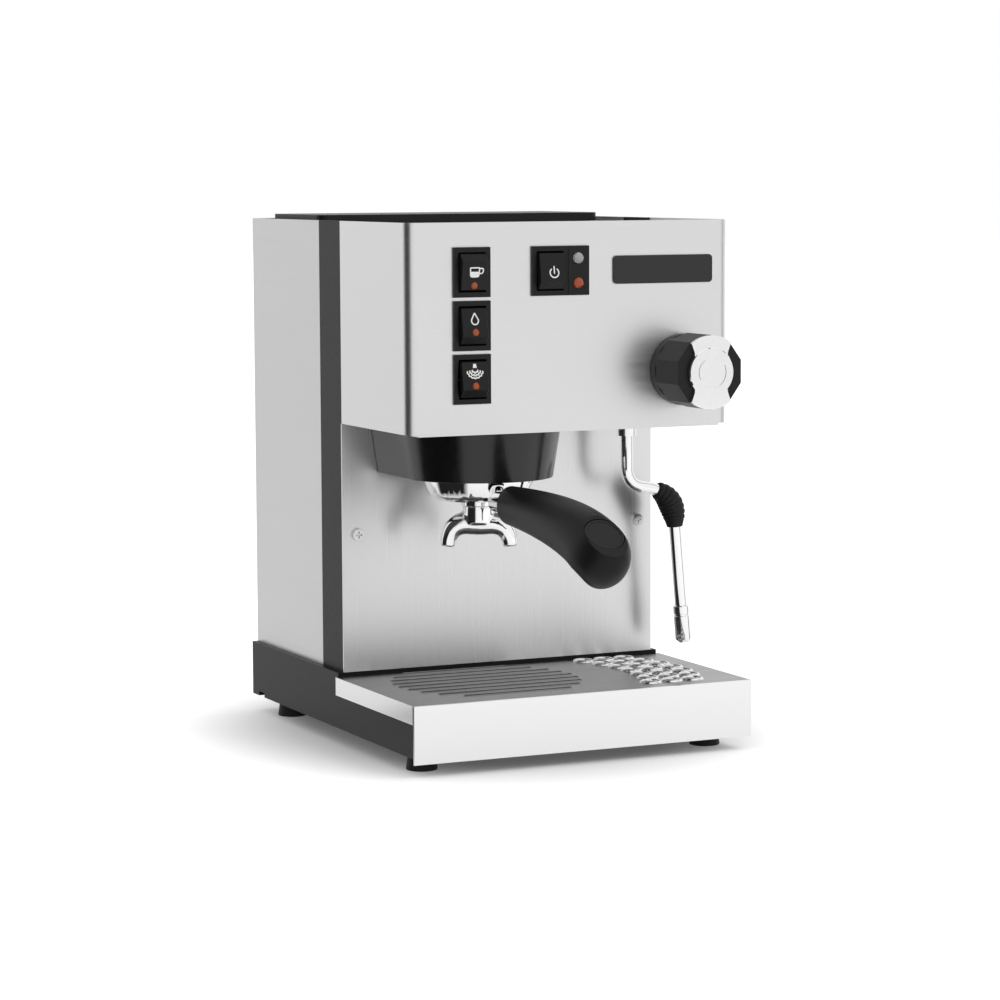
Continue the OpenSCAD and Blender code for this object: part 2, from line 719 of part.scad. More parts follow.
module drip_grid() color("#9c9c9e") difference() {
    z = [grid_z - 2 * sheet_t, grid_z + cut];
    union() {
        block([-body_w / 2, body_w / 2], [grid_front, grid_back], [grid_z - sheet_t, grid_z]);
        for (s = [-1, 1]) {
            x = s < 0 ? [-body_w / 2, -body_w / 2 + sheet_t] : [body_w / 2 - sheet_t, body_w / 2];
            block(x, [grid_front, grid_back], [grid_z - strip_h, grid_z]);
        }
    }
    for (i = [0:slot_count - 1]) {
        dy = (i - (slot_count - 1) / 2) * slot_step;
        half = sqrt(slot_field_r * slot_field_r - dy * dy);
        slot_cut([slot_field_x - half, slot_field_x + half], grid_mid + 7.5 + dy, slot_w, z);
    }
    for (i = [0:grid_hole_rows - 1], k = [0:2]) {
        dy = (i - (grid_hole_rows - 1) / 2) * hole_step;
        arc_x = body_w / 2 - grid_hole_side - k * grid_arc_pitch;
        x = arc_x + sqrt(grid_arc_r * grid_arc_r - dy * dy) - grid_arc_r;
        rod_z([x, grid_mid + 4 + dy], grid_hole_d / 2, z);
    }
}

// ---- Group ----

module group_bracket() color("#3a3a3c") difference() {
    union() {
        block(bracket_x, [head_y + switch_depth + bracket_room, flange_y - 0.1], [bracket_z, bracket_z + bracket_t]);
        block(bracket_x, [flange_y - bracket_t, flange_y], [bracket_z, bracket_z + 34]);
    }
    rod_z([group_x, group_y], neck_r + 0.5, [bracket_z - cut, bracket_z + bracket_t + cut]);
    for (p = bolts_at) rod_z(p, bolt_r + 0.1, [bracket_z - cut, bracket_z + bracket_t + cut]);
    rod_z(drain_at, drain_r + 0.3, [bracket_z - cut, bracket_z + bracket_t + cut]);
}

module group_head() color("#cfcfd1") difference() {
    rod_z([group_x, group_y], group_r, [group_low, bracket_z]);
    rod_z([group_x, group_y], group_bore_r, [group_low - cut, gasket_top]);
    rod_z([group_x, group_y], channel_r, [lug_z - part_gap, lug_z + lug_h + part_gap]);
    on_handle_axis() for (s = [0, 180]) rotate([0, 0, s - unlock_angle]) lug_sector(lug_r + part_gap,
        lug_half_angle + 4, [group_low - cut, lug_z + lug_h]);
    rod_z([group_x, group_y], 2.6, [gasket_top - cut, bracket_z + cut]);
    for (p = bolts_at) rod_z(p, bolt_r, [bracket_z - 8, bracket_z + cut]);
}

unlock_angle = 45;

// Sector of a disc about the local origin, centred on +X
module lug_sector(r, half_angle, z) {
    intersection() {
        translate([0, 0, z[0]]) cylinder(r = r, h = z[1] - z[0]);
        reach = 2 * r;
        translate([0, 0, z[0]]) linear_extrude(z[1] - z[0])
            polygon([[0, 0], [reach * cos(half_angle), -reach * sin(half_angle)],
                [reach * cos(half_angle), reach * sin(half_angle)]]);
    }
}

// Wall profile of the shroud, at the distance r from its axis
function shroud_wall() = [[shroud_low_r - shroud_t, shroud_z], [shroud_low_r, shroud_z],
    [shroud_top_r, head_z], [shroud_top_r - shroud_t, head_z]];

module group_shroud() color("#2a2a2c") {
    depth = splash_y - 0.2 - group_y;
    translate([group_x, group_y, 0]) {
        rotate([0, 0, 180]) rotate_extrude(angle = 180, $fn = 96) polygon(shroud_wall());
        for (s = [0, 1]) mirror([s, 0, 0]) translate([0, depth, 0]) rotate([90, 0, 0])
            linear_extrude(depth) polygon(shroud_wall());
    }
}

module group_gasket() color("#151517") translate([group_x, group_y, 0]) rotate_extrude()
    translate([screen_r + 0.1, gasket_low]) square([group_bore_r - screen_r - 0.1, gasket_h]);

module shower_screen() color("#c8c8ca") difference() {
    rod_z([group_x, group_y], screen_r, [gasket_low - 3, gasket_top]);
    rod_z([group_x, group_y], screen_r - 0.8, [gasket_low - 2.2, gasket_top + cut]);
    rod_z([group_x, group_y], 2.1, [gasket_low - 4, gasket_low]);
    for (ring = [1:3], k = [0:6 * ring - 1])
        rod_z([group_x + 7 * ring * cos(60 * k / ring), group_y + 7 * ring * sin(60 * k / ring)], 0.9,
            [gasket_low - 4, gasket_low - 2]);
}

module screen_screw() color("#b4b4b6") {
    rod_z([group_x, group_y], 4.5, [gasket_low - 5, gasket_low - 3]);
    rod_z([group_x, group_y], 2, [gasket_low - 3, gasket_top + 3]);
}

// ---- Boiler ----

module boiler() color("#b08d4a") difference() {
    union() {
        rod_z([group_x, group_y], boiler_r, [boiler_z, boiler_top]);
        rod_z([group_x, group_y], bolt_ring_r + 4, [boiler_z, boiler_z + 5]);
        rod_z([group_x, group_y], neck_r, [bracket_z, boiler_z]);
        rod_y([group_x, port_z], 5, [group_y + boiler_r - 2, group_y + boiler_r + port_l]);
    }
    rod_z([group_x, group_y], boiler_r - boiler_t, [boiler_z + 8, boiler_top + cut]);
    rod_z([group_x, group_y], 2.6, [bracket_z - cut, boiler_z + 9]);
    for (p = bolts_at) rod_z(p, bolt_r + 0.1, [boiler_z - cut, boiler_z + 6]);
}

module boiler_bolts() color("#8e8e90") for (p = bolts_at) {
    rod_z(p, bolt_r - 0.02, [bracket_z - 7, boiler_z + 5]);
    translate([p[0], p[1], boiler_z + 5]) cylinder(r = 4.4, h = 3.4, $fn = 6);
}

module heating_element() color("#a9a9ab") {
    leg_r = 4;
    leg_x = 14;
    low = boiler_z + 30;
    rod_z([group_x, group_y], boiler_r, [boiler_top, boiler_top + 6]);
    for (s = [-1, 1]) {
        rod_z([group_x + s * leg_x, group_y], leg_r, [low, boiler_top]);
        block([group_x + s * leg_x - 3, group_x + s * leg_x + 3], [group_y - 0.5, group_y + 0.5],
            [boiler_top + 6, boiler_top + 14]);
    }
    translate([group_x, group_y, low]) rotate([-90, 0, 0]) rotate_extrude(angle = 180)
        translate([leg_x, 0]) circle(r = leg_r);
}

module thermostats() color("#2f2f31") for (a = [100, 180, 260])
    rod_z([group_x + 25 * cos(a), group_y + 25 * sin(a)], 7.5, [boiler_top + 6, boiler_top + 13]);

drain_r = 2.5;
drain_at = [group_x - shroud_top_r + 13.5, splash_y - 16];

module solenoid_valve() color("#4a4a4e") {
    coil = 10.5;
    rod_z(drain_at, 5, [boiler_z, boiler_z + 12]);
    block([drain_at[0] - coil, drain_at[0] + coil], [drain_at[1] - coil, drain_at[1] + coil],
        [boiler_z + 12, boiler_z + 44]);
    rod_z(drain_at, 6, [boiler_z + 44, boiler_z + 48]);
}

module drain_tube() color("#b9b9bb") rod_z(drain_at, drain_r, [shroud_z + 5, boiler_z]);

// ---- Steam valve, knob and wand ----

module steam_valve() color("#b08d4a") difference() {
    union() {
        rod_y([steam_x, knob_z], valve_r, [head_y + sheet_t + 5, valve_back - 14]);
        translate([steam_x, head_y + sheet_t, knob_z]) rotate([-90, 0, 0]) cylinder(r = 13, h = 5, $fn = 6);
        rod_y([steam_x, knob_z], valve_neck_r, [head_y - neck_out, head_y + sheet_t]);
        block([steam_x - 12, steam_x + 12], [wand_y - 13, wand_y + 12], [knob_z - 12, knob_z + 12]);
        rod_y([steam_x, knob_z], valve_r, [valve_back - 15, wand_y]);
        rod_z([steam_x, wand_y], 6, [nut_top, knob_z]);
    }
    rod_y([steam_x, knob_z], spindle_r + run_gap, [head_y - neck_out - cut, wand_y - 16]);
}

module valve_spindle() color("#a0a0a2")
    rod_y([steam_x, knob_z], spindle_r, [knob_front + 14, wand_y - 16 - part_gap]);

module knob_body() color("#232325") difference() {
    union() {
        translate([steam_x, knob_front + 2.5, knob_z]) rotate([-90, 18, 0]) cylinder(r = knob_r, h = knob_l - 8.5, $fn = 10);
        rod_y([steam_x, knob_z], knob_r - 0.8, [knob_back - 6, knob_back]);
    }
    rod_y([steam_x, knob_z], valve_neck_r + 1.5, [knob_back - 4, knob_back + cut]);
    rod_y([steam_x, knob_z], spindle_r, [knob_front + 14, knob_back]);
}

module knob_face() color("#d9d9db") {
    neck_w = 11.8;
    translate([steam_x, knob_front + 2.5, knob_z]) rotate([90, 0, 0]) intersection() {
        cylinder(r = knob_r - 0.3, h = 2.5);
        union() {
            cylinder(r = knob_disc_r, h = 2.5);
            linear_extrude(2.5) polygon([[-neck_w - 4, -knob_r], [neck_w + 4, -knob_r], [neck_w, -knob_disc_r + 3],
                [neck_w, knob_disc_r - 3], [neck_w + 4, knob_r], [-neck_w - 4, knob_r],
                [-neck_w, knob_disc_r - 3], [-neck_w, -knob_disc_r + 3]]);
        }
    }
}

module wand_nut() color("#cfcfd1") difference() {
    union() {
        translate([steam_x, wand_y, collar_top]) cylinder(r = nut_r, h = nut_top - collar_top, $fn = 6);
        rod_z([steam_x, wand_y], collar_r, [nut_low, collar_top]);
    }
    translate([steam_x, wand_y, ball_z]) sphere(r = ball_r + run_gap);
    rod_z([steam_x, wand_y], ring_out + run_gap, [nut_low - cut, ring_top + 0.2]);
    rod_z([steam_x, wand_y], ring_in, [nut_low, ball_z]);
    rod_z([steam_x, wand_y], 3, [ball_z, nut_top + cut]);
}

module wand_ring() color("#1b1b1d") difference() {
    rod_z([steam_x, wand_y], ring_out, [nut_low + 0.2, ring_top]);
    rod_z([steam_x, wand_y], ring_in, [nut_low - cut, ring_top + cut]);
}

module wand_pipe() color("#d4d4d6") {
    tube(wand_line, wand_d, n = 16);
    translate([steam_x, wand_y, ball_z]) sphere(r = ball_r);
}

module wand_grip() color("#1d1d1f") {
    centre = concat([for (i = [grip_start:len(grip_line) - 1]) grip_line[i]], [grip_low]);
    last = len(centre) - 1;
    end_d = wand_d + 2.4;
    girth = [for (i = [0:last]) end_d + (grip_d - end_d) * sin(180 * i / last)];
    difference() {
        loft(centre, girth, girth, n = 16);
        tube(wand_line, wand_d + 0.1, n = 16);
    }
}

module wand_nozzle() color("#d4d4d6") {
    tilt = atan2(wand_dir[0], -wand_dir[2]);
    translate(nozzle_top) rotate([0, 180 - tilt, 0]) difference() {
        union() {
            cylinder(r = nozzle_d / 2, h = nozzle_l - 2);
            translate([0, 0, nozzle_l - 2]) cylinder(r1 = nozzle_d / 2, r2 = nozzle_d / 2 - 2, h = 2);
        }
        translate([0, 0, nozzle_l - 8]) cylinder(r = 0.9, h = 10);
    }
}

// ---- Portafilter ----

// Handle centre line in the handle's own plane: a cubic curve that runs level and hooks down at its end
handle_root = filter_r + 12.5;
handle_steps = 20;
handle_arch = -1.4;
handle_shoulder = 9.4;
handle_knots = [[-handle_root, handle_z], [64 - handle_reach, handle_z + handle_arch],
    [2 - handle_reach, handle_z - handle_shoulder], [13 - handle_reach, handle_z - handle_drop]];
function cubic(k, t) = pow(1 - t, 3) * k[0] + 3 * t * pow(1 - t, 2) * k[1] + 3 * t * t * (1 - t) * k[2]
    + pow(t, 3) * k[3];
handle_pts = [for (i = [0:handle_steps]) let (q = cubic(handle_knots, i / handle_steps)) [0, q[0], q[1]]];
// Length of a line of points up to the point i
function run(pts, i) = i == 0 ? 0 : run(pts, i - 1) + norm(pts[i] - pts[i - 1]);
handle_shares = [for (i = [0:handle_steps]) run(handle_pts, i) / run(handle_pts, handle_steps)];
// Girth at the share s of the length: it runs from a root share through a middle share to 1, and closes round
handle_cap = 0.8;
function swell(s, root, mid) = (root * (1 - s) * (1 - 2 * s) + 4 * mid * s * (1 - s) - s * (1 - 2 * s))
    * sqrt(1 - pow(max(0, (s - handle_cap) / (1.01 - handle_cap)), 2));
handle_widths = [for (s = handle_shares) handle_wide * swell(s, 0.545, 0.885)];
handle_heights = [for (s = handle_shares) handle_tall * swell(s, 0.577, 0.76)];
// The sections lean forward less than the curve does, so that they never cross on the inside of the hook
handle_end_lean = 70;
handle_leans = [for (s = handle_shares) handle_end_lean * pow(s, 2.5)];
handle_leads = [for (a = handle_leans) [0, -cos(a), -sin(a)]];

// Chrome neck between the bowl and the handle, with a thin rod into the handle
neck_z = handle_z + 1;
ferrule_r = 7.5;
neck_rod_r = 5.5;
neck_rod_l = 24;

// Flat face on the handle's end: a cut below the surface, square to the section at one step and moved on
// towards the tip
face_step = 13;
face_cut = 3.8;
face_shift = 4.5;
face_out = handle_heights[face_step] / 2 - face_cut;
plug_r = 12.5;
plug_t = 2.4;

module portafilter_body() color("#d6d6d8") difference() {
    on_handle_axis() {
        rotate_extrude() polygon([[0, bowl_z], [27, bowl_z], [32, bowl_z + 3.5], [filter_r, bowl_z + 13],
            [filter_r, body_top], [0, body_top]]);
        for (s = [0, 180]) rotate([0, 0, s]) lug_sector(lug_r, lug_half_angle, [lug_z, lug_z + lug_h]);
        rod_z([0, 0], 11, [bowl_z - 4, bowl_z]);
        rod_y([0, neck_z], ferrule_r, [-handle_root, -filter_r + 6]);
        rod_y([0, neck_z], neck_rod_r, [-handle_root - neck_rod_l, -handle_root]);
    }
    rod_z([group_x, group_y], basket_r + 1, [bowl_z + 4, body_top + cut]);
    rod_z([group_x, group_y], basket_r + 1.4, [body_top - 8.8, body_top - 7.2]);
    rod_z([group_x, group_y], 5, [bowl_z - 5, bowl_z + 5]);
}

module filter_basket() color("#cacacc") translate([group_x, group_y, 0]) difference() {
    union() {
        rod_z([0, 0], basket_r, [body_top - basket_depth, body_top]);
        rod_z([0, 0], basket_rim_r, [body_top, body_top + basket_t]);
    }
    rod_z([0, 0], basket_r - basket_t, [body_top - basket_depth + basket_t, body_top + 2]);
}

module basket_spring() color("#9a9a9c") translate([group_x, group_y, body_top - 8]) rotate_extrude()
    translate([basket_r + 0.65, 0]) circle(r = 0.6, $fn = 16);

module double_spout() color("#d6d6d8") translate([group_x, group_y, 0]) rotate([0, 0, spout_turn]) difference() {
    tip_d = 9.4;
    neck = 10;
    arch_z = spout_tip_z + arch_h - 1;
    top = bowl_z - 4;
    union() {
        rod_z([0, 0], neck, [arch_z, top]);
        for (s = [-1, 1]) {
            arm = route([[0, 0, arch_z], [s * (spout_half - 1.5), 0, arch_z], [s * spout_half, 0, spout_tip_z]], 13, 6);
            girth = [for (i = [0:len(arm) - 1]) arch_h + (tip_d - arch_h) * i / (len(arm) - 1)];
            loft(arm, girth, girth, side = [0, 1, 0], n = 16);
        }
    }
    rod_z([0, 0], 4, [top - 6, top + cut]);
}

// Children placed on the flat face at the handle's end, with Z along its normal
module on_handle_face() {
    translate(handle_pts[face_step]) rotate([handle_leans[face_step], 0, 0])
        translate([0, -face_shift, face_out]) children();
}

module portafilter_handle() color("#222224") on_handle_axis() difference() {
    loft(handle_pts, handle_widths, handle_heights, n = 20, leads = handle_leads);
    rod_y([0, neck_z], neck_rod_r + 0.1, [-handle_root - neck_rod_l - 0.2, 0]);
    on_handle_face() block([-handle_wide, handle_wide], [-handle_tall, handle_tall], [0, handle_tall]);
    on_handle_face() translate([0, 0, -plug_t]) cylinder(r = plug_r + 0.1, h = 2 * plug_t);
}

module handle_plug() color("#2b2b2d") on_handle_axis() on_handle_face()
    translate([0, 0, -plug_t]) cylinder(r = plug_r, h = plug_t);

// ---- Switches and lamps ----

// Frame and body of one switch, without its rocker
module switch_frame(at) {
    body_wd = switch_w - 3.6;
    body_ht = switch_h - 3.6;
    open_w = rocker_w + 2 * part_gap + 0.4;
    open_h = switch_h - 6.2;
    x = [at[0] - open_w / 2, at[0] + open_w / 2];
    difference() {
        union() {
            block([at[0] - switch_w / 2, at[0] + switch_w / 2], [head_y - switch_rise, head_y],
                [at[1] - switch_h / 2, at[1] + switch_h / 2]);
            block([at[0] - body_wd / 2, at[0] + body_wd / 2], [head_y, head_y + switch_depth],
                [at[1] - body_ht / 2, at[1] + body_ht / 2]);
        }
        block(x, [head_y - switch_rise - cut, head_y + switch_depth - 3], [at[1] - open_h / 2, at[1] + open_h / 2]);
    }
    rod_x([pivot_y, at[1]], pin_r, [x[0] - 1, x[1] + 1]);
}

// Rocker with a flat face, a bevel at each end and, where wanted, a lens low on its face, at a tilt about its pin
module rocker(at, tilt, lens = true) {
    half = rocker_half;
    translate([at[0], pivot_y, at[1]]) rotate([tilt, 0, 0]) difference() {
        union() {
            translate([-rocker_w / 2, 0, 0]) rotate([90, 0, 90]) linear_extrude(rocker_w)
                polygon([[7, -half + 2], [-0.5, -half], [-rocker_out, -half + 3.4], [-rocker_out, half - 3.4],
                    [-0.5, half], [7, half - 2]]);
            if (lens) rod_y([0, -half + 6.2], 2.9, [-rocker_out - 0.6, 0]);
        }
        rod_x([0, 0], pin_r + run_gap, [-rocker_w, rocker_w]);
    }
}

module switch_frames() color("#242426") for (i = [0:2]) switch_frame([switch_x, switch_z - i * switch_pitch]);

module power_frame() color("#242426") {
    switch_frame([power_mid, switch_z]);
    difference() {
        x = [power_x + switch_w, power_x + switch_w + lamp_w];
        block(x, [head_y - switch_rise, head_y], [switch_z - switch_h / 2, switch_z + switch_h / 2]);
        for (s = [-1, 1]) rod_y([lamp_x, switch_z + s * lamp_half], lamp_r + 0.1, [head_y - 2 * switch_rise, head_y + cut]);
    }
}

module lamp_lenses() color("#e8d8c8") for (s = [-1, 1])
    rod_y([lamp_x, switch_z + s * lamp_half], lamp_r, [head_y - switch_rise - 1.4, head_y + 6]);

module rocker_brew() color("#262628") rocker([switch_x, switch_z], rocker_tilt);

module rocker_water() color("#262628") rocker([switch_x, switch_z - switch_pitch], -rocker_tilt);

module rocker_steam() color("#262628") rocker([switch_x, switch_z - 2 * switch_pitch], -rocker_tilt);

module rocker_power() color("#262628") rocker([power_mid, switch_z], -rocker_tilt, lens = false);

module badge_plate() color("#1e1e20") translate([badge_x, head_y, badge_z]) rotate([90, 0, 0])
    round_plate(badge_w, badge_h, 2.5, 1.5);

module steam_pipe() color("#b87333") {
    top_room = 9.8;
    top = cup_low - pipe_d / 2 - top_room;
    foot = [group_x + 20, group_y + 6];
    tube(route([[foot[0], foot[1], boiler_top + 6], [foot[0], foot[1], top], [steam_x, wand_y, top],
        [steam_x, wand_y, knob_z + 12]], 9, 4), pipe_d, side = [0, 1, 0]);
}

base_frame();
upright_frame();
side_panel_left();
side_panel_right();
back_panel();
back_screws();
head_cover();
head_floor();
backsplash();
backsplash_screws();
cup_tray();
tank_lid();
water_tank();
tank_hose();
drip_tub();
tray_front();
drip_grid();
feet();
foot_screws();
group_bracket();
group_head();
group_shroud();
group_gasket();
shower_screen();
screen_screw();
boiler();
boiler_bolts();
heating_element();
thermostats();
solenoid_valve();
drain_tube();
water_pump();
pump_mounts();
pump_hose();
pressure_pipe();
steam_pipe();
steam_valve();
valve_spindle();
knob_body();
knob_face();
wand_nut();
wand_ring();
wand_pipe();
wand_grip();
wand_nozzle();
portafilter_body();
portafilter_handle();
handle_plug();
filter_basket();
basket_spring();
double_spout();
switch_frames();
power_frame();
rocker_brew();
rocker_water();
rocker_steam();
rocker_power();
lamp_lenses();
badge_plate();
cable_gland();
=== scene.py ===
"""Home espresso machine: finishes and detailed pieces around its construction model."""

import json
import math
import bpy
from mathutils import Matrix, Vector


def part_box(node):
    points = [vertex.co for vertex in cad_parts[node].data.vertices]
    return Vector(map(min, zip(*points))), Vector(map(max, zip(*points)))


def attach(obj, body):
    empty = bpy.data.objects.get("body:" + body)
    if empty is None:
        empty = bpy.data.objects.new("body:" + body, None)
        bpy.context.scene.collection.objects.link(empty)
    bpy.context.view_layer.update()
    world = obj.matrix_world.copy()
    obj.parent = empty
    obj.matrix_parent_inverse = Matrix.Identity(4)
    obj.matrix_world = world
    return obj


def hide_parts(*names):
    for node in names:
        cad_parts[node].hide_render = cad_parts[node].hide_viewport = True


bl_info = {
    "name": "Espresso Machine",
    "version": (1, 0, 0),
    "blender": (4, 5, 0),
    "location": "View3D > Sidebar > Espresso",
    "description": "Dresses an espresso machine in brushed steel, chrome and black plastic",
    "category": "Add Mesh",
}

import bmesh
import bpy
from bpy.props import FloatProperty, FloatVectorProperty, IntProperty, PointerProperty
from mathutils import Matrix, Vector

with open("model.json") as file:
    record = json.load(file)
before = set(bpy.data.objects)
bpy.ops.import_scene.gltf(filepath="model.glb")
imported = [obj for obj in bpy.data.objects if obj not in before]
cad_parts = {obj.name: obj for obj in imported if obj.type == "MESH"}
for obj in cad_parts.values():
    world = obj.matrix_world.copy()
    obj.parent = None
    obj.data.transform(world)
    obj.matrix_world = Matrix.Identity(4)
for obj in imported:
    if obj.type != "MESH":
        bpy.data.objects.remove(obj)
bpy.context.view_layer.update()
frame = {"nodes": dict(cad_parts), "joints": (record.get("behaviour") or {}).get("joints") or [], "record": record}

MM = 0.001
BODIES = frame["record"]["behaviour"]["bodies"]
BODY_OF = {node: body for body, nodes in BODIES.items() for node in nodes}
JOINTS = {joint["name"]: joint for joint in frame["joints"]}


def pivot(joint):
    """Place of a hinge in the frame."""
    return Vector(JOINTS[joint]["pos_m"])


def span(node):
    """Lowest and highest corner of a construction piece in millimetres."""
    low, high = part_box(node)
    return low / MM, high / MM


# ---- Sizes and colours ----


def length(name, text, value):
    """A size in millimetres."""
    return FloatProperty(name=name, description=text, default=value, min=0.0)


def angle(name, text, degrees):
    """An angle, kept in radians."""
    return FloatProperty(name=name, description=text, default=math.radians(degrees), subtype="ANGLE",
                         unit="ROTATION")


def colour(name, text, grey_or_rgb):
    """A colour in linear light."""
    rgb = grey_or_rgb if isinstance(grey_or_rgb, tuple) else (grey_or_rgb,) * 3
    return FloatVectorProperty(name=name, description=text, default=rgb, subtype="COLOR", size=3, min=0.0,
                               max=1.0)


def spot(name, text, at):
    """A place in metres."""
    return FloatVectorProperty(name=name, description=text, default=at, subtype="TRANSLATION", size=3,
                               unit="LENGTH")


class EspressoCasingSizes(bpy.types.PropertyGroup):
    """Edges and grid of the casing, in millimetres."""

    sheet_edge: length("Sheet edge", "Rounding of the cut edges of the steel sheets", 0.3)
    tub_edge: length("Tub edge", "Rounding of the drip tray's tub", 0.8)
    lid_edge: length("Lid edge", "Rounding of the tank lid", 1.6)
    slots: IntProperty(name="Slots", description="Number of slots in the grid", default=9, min=1)
    slot_w: length("Slot width", "Width of a slot of the grid", 5.0)
    slot_field: length("Slot field", "Radius of the round field that the slots fill", 61.0)
    slot_bead: length("Slot bead", "Radius of the rolled edge around each slot of the grid", 0.45)
    hole_r: length("Hole", "Radius of a hole of the grid", 5.5)
    hole_rows: IntProperty(name="Hole rows", description="Number of holes in each arc", default=7, min=2)
    hole_arc: length("Hole arc", "Radius of the arcs in which the holes stand", 112.0)
    hole_pitch: length("Hole pitch", "Distance between two arcs of holes", 15.0)
    hole_rim: length("Hole rim", "Width of the raised rim around each hole of the grid", 1.9)
    hole_rise: length("Hole rise", "Height of the raised rim around each hole of the grid", 1.2)


class EspressoFilterSizes(bpy.types.PropertyGroup):
    """Portafilter, spout and handle, in millimetres."""

    handle_turn: angle("Handle turn", "Angle of the handle to the right of straight ahead", 0.7)
    handle_root: length("Handle root", "Distance from the group axis to the handle", 48.0)
    handle_reach: length("Handle reach", "Pull of the handle's curve away from the group axis", 188.0)
    handle_z: length("Handle height", "Height of the handle's middle line at its root", 161.8)
    handle_drop: length("Handle drop", "Fall of the handle's middle line from root to tip", 37.0)
    handle_wide: length("Handle width", "Width of the handle at its end, before it closes", 37.5)
    handle_tall: length("Handle tallness", "Height of the handle at its end, before it closes", 42.5)
    plug_r: length("Handle disc", "Radius of the disc in the handle's flat face", 12.4)
    spout_turn: angle("Spout turn", "Angle of the spout across the machine", -25.0)
    spout_half: length("Spout half", "Half of the distance between the two spout tips", 20.0)


class EspressoWandSizes(bpy.types.PropertyGroup):
    """Steam wand and its grip, in millimetres."""

    pipe_d: length("Pipe", "Diameter of the wand pipe", 8.0)
    crank_z: length("Crank height", "Height of the cranked stretch above the table", 161.7)
    crank_x: length("Crank reach", "Reach of the crank to the right", 33.4)
    lean: length("Lean", "Sideways lean of the lower pipe over its length", 9.0)
    tip_z: length("Tip", "Height of the nozzle's tip above the table", 56.5)
    nozzle_l: length("Nozzle length", "Length of the nozzle", 25.0)
    nozzle_d: length("Nozzle", "Diameter of the nozzle", 10.8)
    grip_d: length("Grip", "Widest diameter of the rubber grip", 16.0)
    grip_l: length("Grip length", "Reach of the grip down the lower pipe", 25.0)
    rib_h: length("Rib", "Height of one rib of the grip", 0.75)
    ribs: IntProperty(name="Ribs", description="Number of ribs on the grip", default=8, min=1)


class EspressoControlSizes(bpy.types.PropertyGroup):
    """Switches, lamps, badge and knob, in millimetres."""

    frame_edge: length("Frame edge", "Rounding of the switch frames", 0.6)
    rocker_edge: length("Rocker edge", "Rounding of the rockers", 0.7)
    rocker_w: length("Rocker width", "Width of a rocker", 17.5)
    rocker_half: length("Rocker half height", "Half of the height of a rocker", 11.6)
    rocker_out: length("Rocker rise", "Rise of a rocker's face above its pin", 5.2)
    rocker_tilt: angle("Rocker tilt", "Tilt of a rocker at rest", 9.0)
    lens_r: length("Lens", "Radius of the lens on a rocker", 2.3)
    icon_line: length("Icon line", "Line width of the pictograms", 0.8)
    disc_r: length("Knob disc", "Radius of the chrome disc on the knob", 15.3)


class EspressoFinishes(bpy.types.PropertyGroup):
    """Colours of the finishes."""

    front: colour("Front steel", "Brushed stainless of the head's front", 0.70)
    # Side steel is the front's stainless made darker: painted shade on the sides that face away from the light.
    side: colour("Side steel", "Brushed stainless of the sides and back", 0.60)
    splash: colour("Backsplash steel", "Brushed stainless of the backsplash", 0.70)
    plate: colour("Plate steel", "Polished stainless of the tray's front plate", 0.85)
    # Grid steel is the same stainless made much darker: painted shade over the grid's top.
    grid: colour("Grid steel", "Brushed stainless of the grid", 0.30)
    chrome: colour("Chrome", "Bright chrome", 0.88)
    black: colour("Black plastic", "Satin black plastic", 0.006)
    paint: colour("Black paint", "Satin black paint on steel", 0.010)
    rubber: colour("Rubber", "Matt black rubber", 0.008)
    amber: colour("Amber lens", "Orange lamp lens", (0.62, 0.11, 0.02))
    clear: colour("Clear lens", "Clear lamp lens", (0.86, 0.87, 0.87))
    icon: colour("Pictograms", "White print on the switches", 0.9)
    brass: colour("Brass", "Bare brass of the boiler and valves", (0.62, 0.43, 0.17))
    copper: colour("Copper", "Drawn copper pipe", (0.72, 0.33, 0.18))
    zinc: colour("Zinc", "Zinc plated screws", 0.58)
    tank: colour("Tank", "Clear moulded tank", (0.86, 0.9, 0.92))
    hose: colour("Hose", "Milky silicone hose", (0.75, 0.74, 0.7))


class EspressoStudio(bpy.types.PropertyGroup):
    """Camera, floor and light."""

    camera_at: spot("Camera", "Place of the camera", (-0.872, -1.906, 0.3685))
    yaw: angle("Yaw", "Turn of the camera from the back towards the right", 24.78)
    pitch: angle("Pitch", "Tilt of the camera below level", 5.88)
    roll: angle("Roll", "Roll of the camera", -0.26)
    lens: FloatProperty(name="Lens", description="Focal length on a 36 mm sensor", default=114.66)
    floor: colour("Floor", "Pale floor", 0.88)
    key: FloatProperty(name="Key light", description="Power of the soft light", default=16.0, unit="POWER")
    key_at: spot("Key place", "Place of the large soft light", (1.1, -1.5, 1.9))
    key_size: FloatProperty(name="Key size", description="Side of the soft light", default=1.5, unit="LENGTH")
    fill: FloatProperty(name="Sky", description="Level of the light from all around", default=0.72)
    floor_gloss: FloatProperty(name="Floor glow", description="Glow of the floor in gloss", default=0.27)


GROUPS = {
    "espresso_casing": EspressoCasingSizes,
    "espresso_filter": EspressoFilterSizes,
    "espresso_wand": EspressoWandSizes,
    "espresso_controls": EspressoControlSizes,
    "espresso_finishes": EspressoFinishes,
    "espresso_studio": EspressoStudio,
}


# ---- Shader nodes ----


def math_node(tree, operation, first, second=0.0):
    """Math node between two sockets or numbers; returns its output."""
    node = tree.nodes.new("ShaderNodeMath")
    node.operation = operation
    for socket, value in zip(node.inputs, (first, second)):
        if isinstance(value, bpy.types.NodeSocket):
            tree.links.new(value, socket)
        else:
            socket.default_value = value
    return node.outputs["Value"]


def range_node(tree, value, ends, results=(0.0, 1.0), smooth=False):
    """Map Range node that takes a socket from its two ends to two results; returns its output."""
    node = tree.nodes.new("ShaderNodeMapRange")
    if smooth:
        node.interpolation_type = "SMOOTHSTEP"
    for socket, number in zip(("From Min", "From Max", "To Min", "To Max"), (*ends, *results)):
        node.inputs[socket].default_value = number
    tree.links.new(value, node.inputs["Value"])
    return node.outputs["Result"]


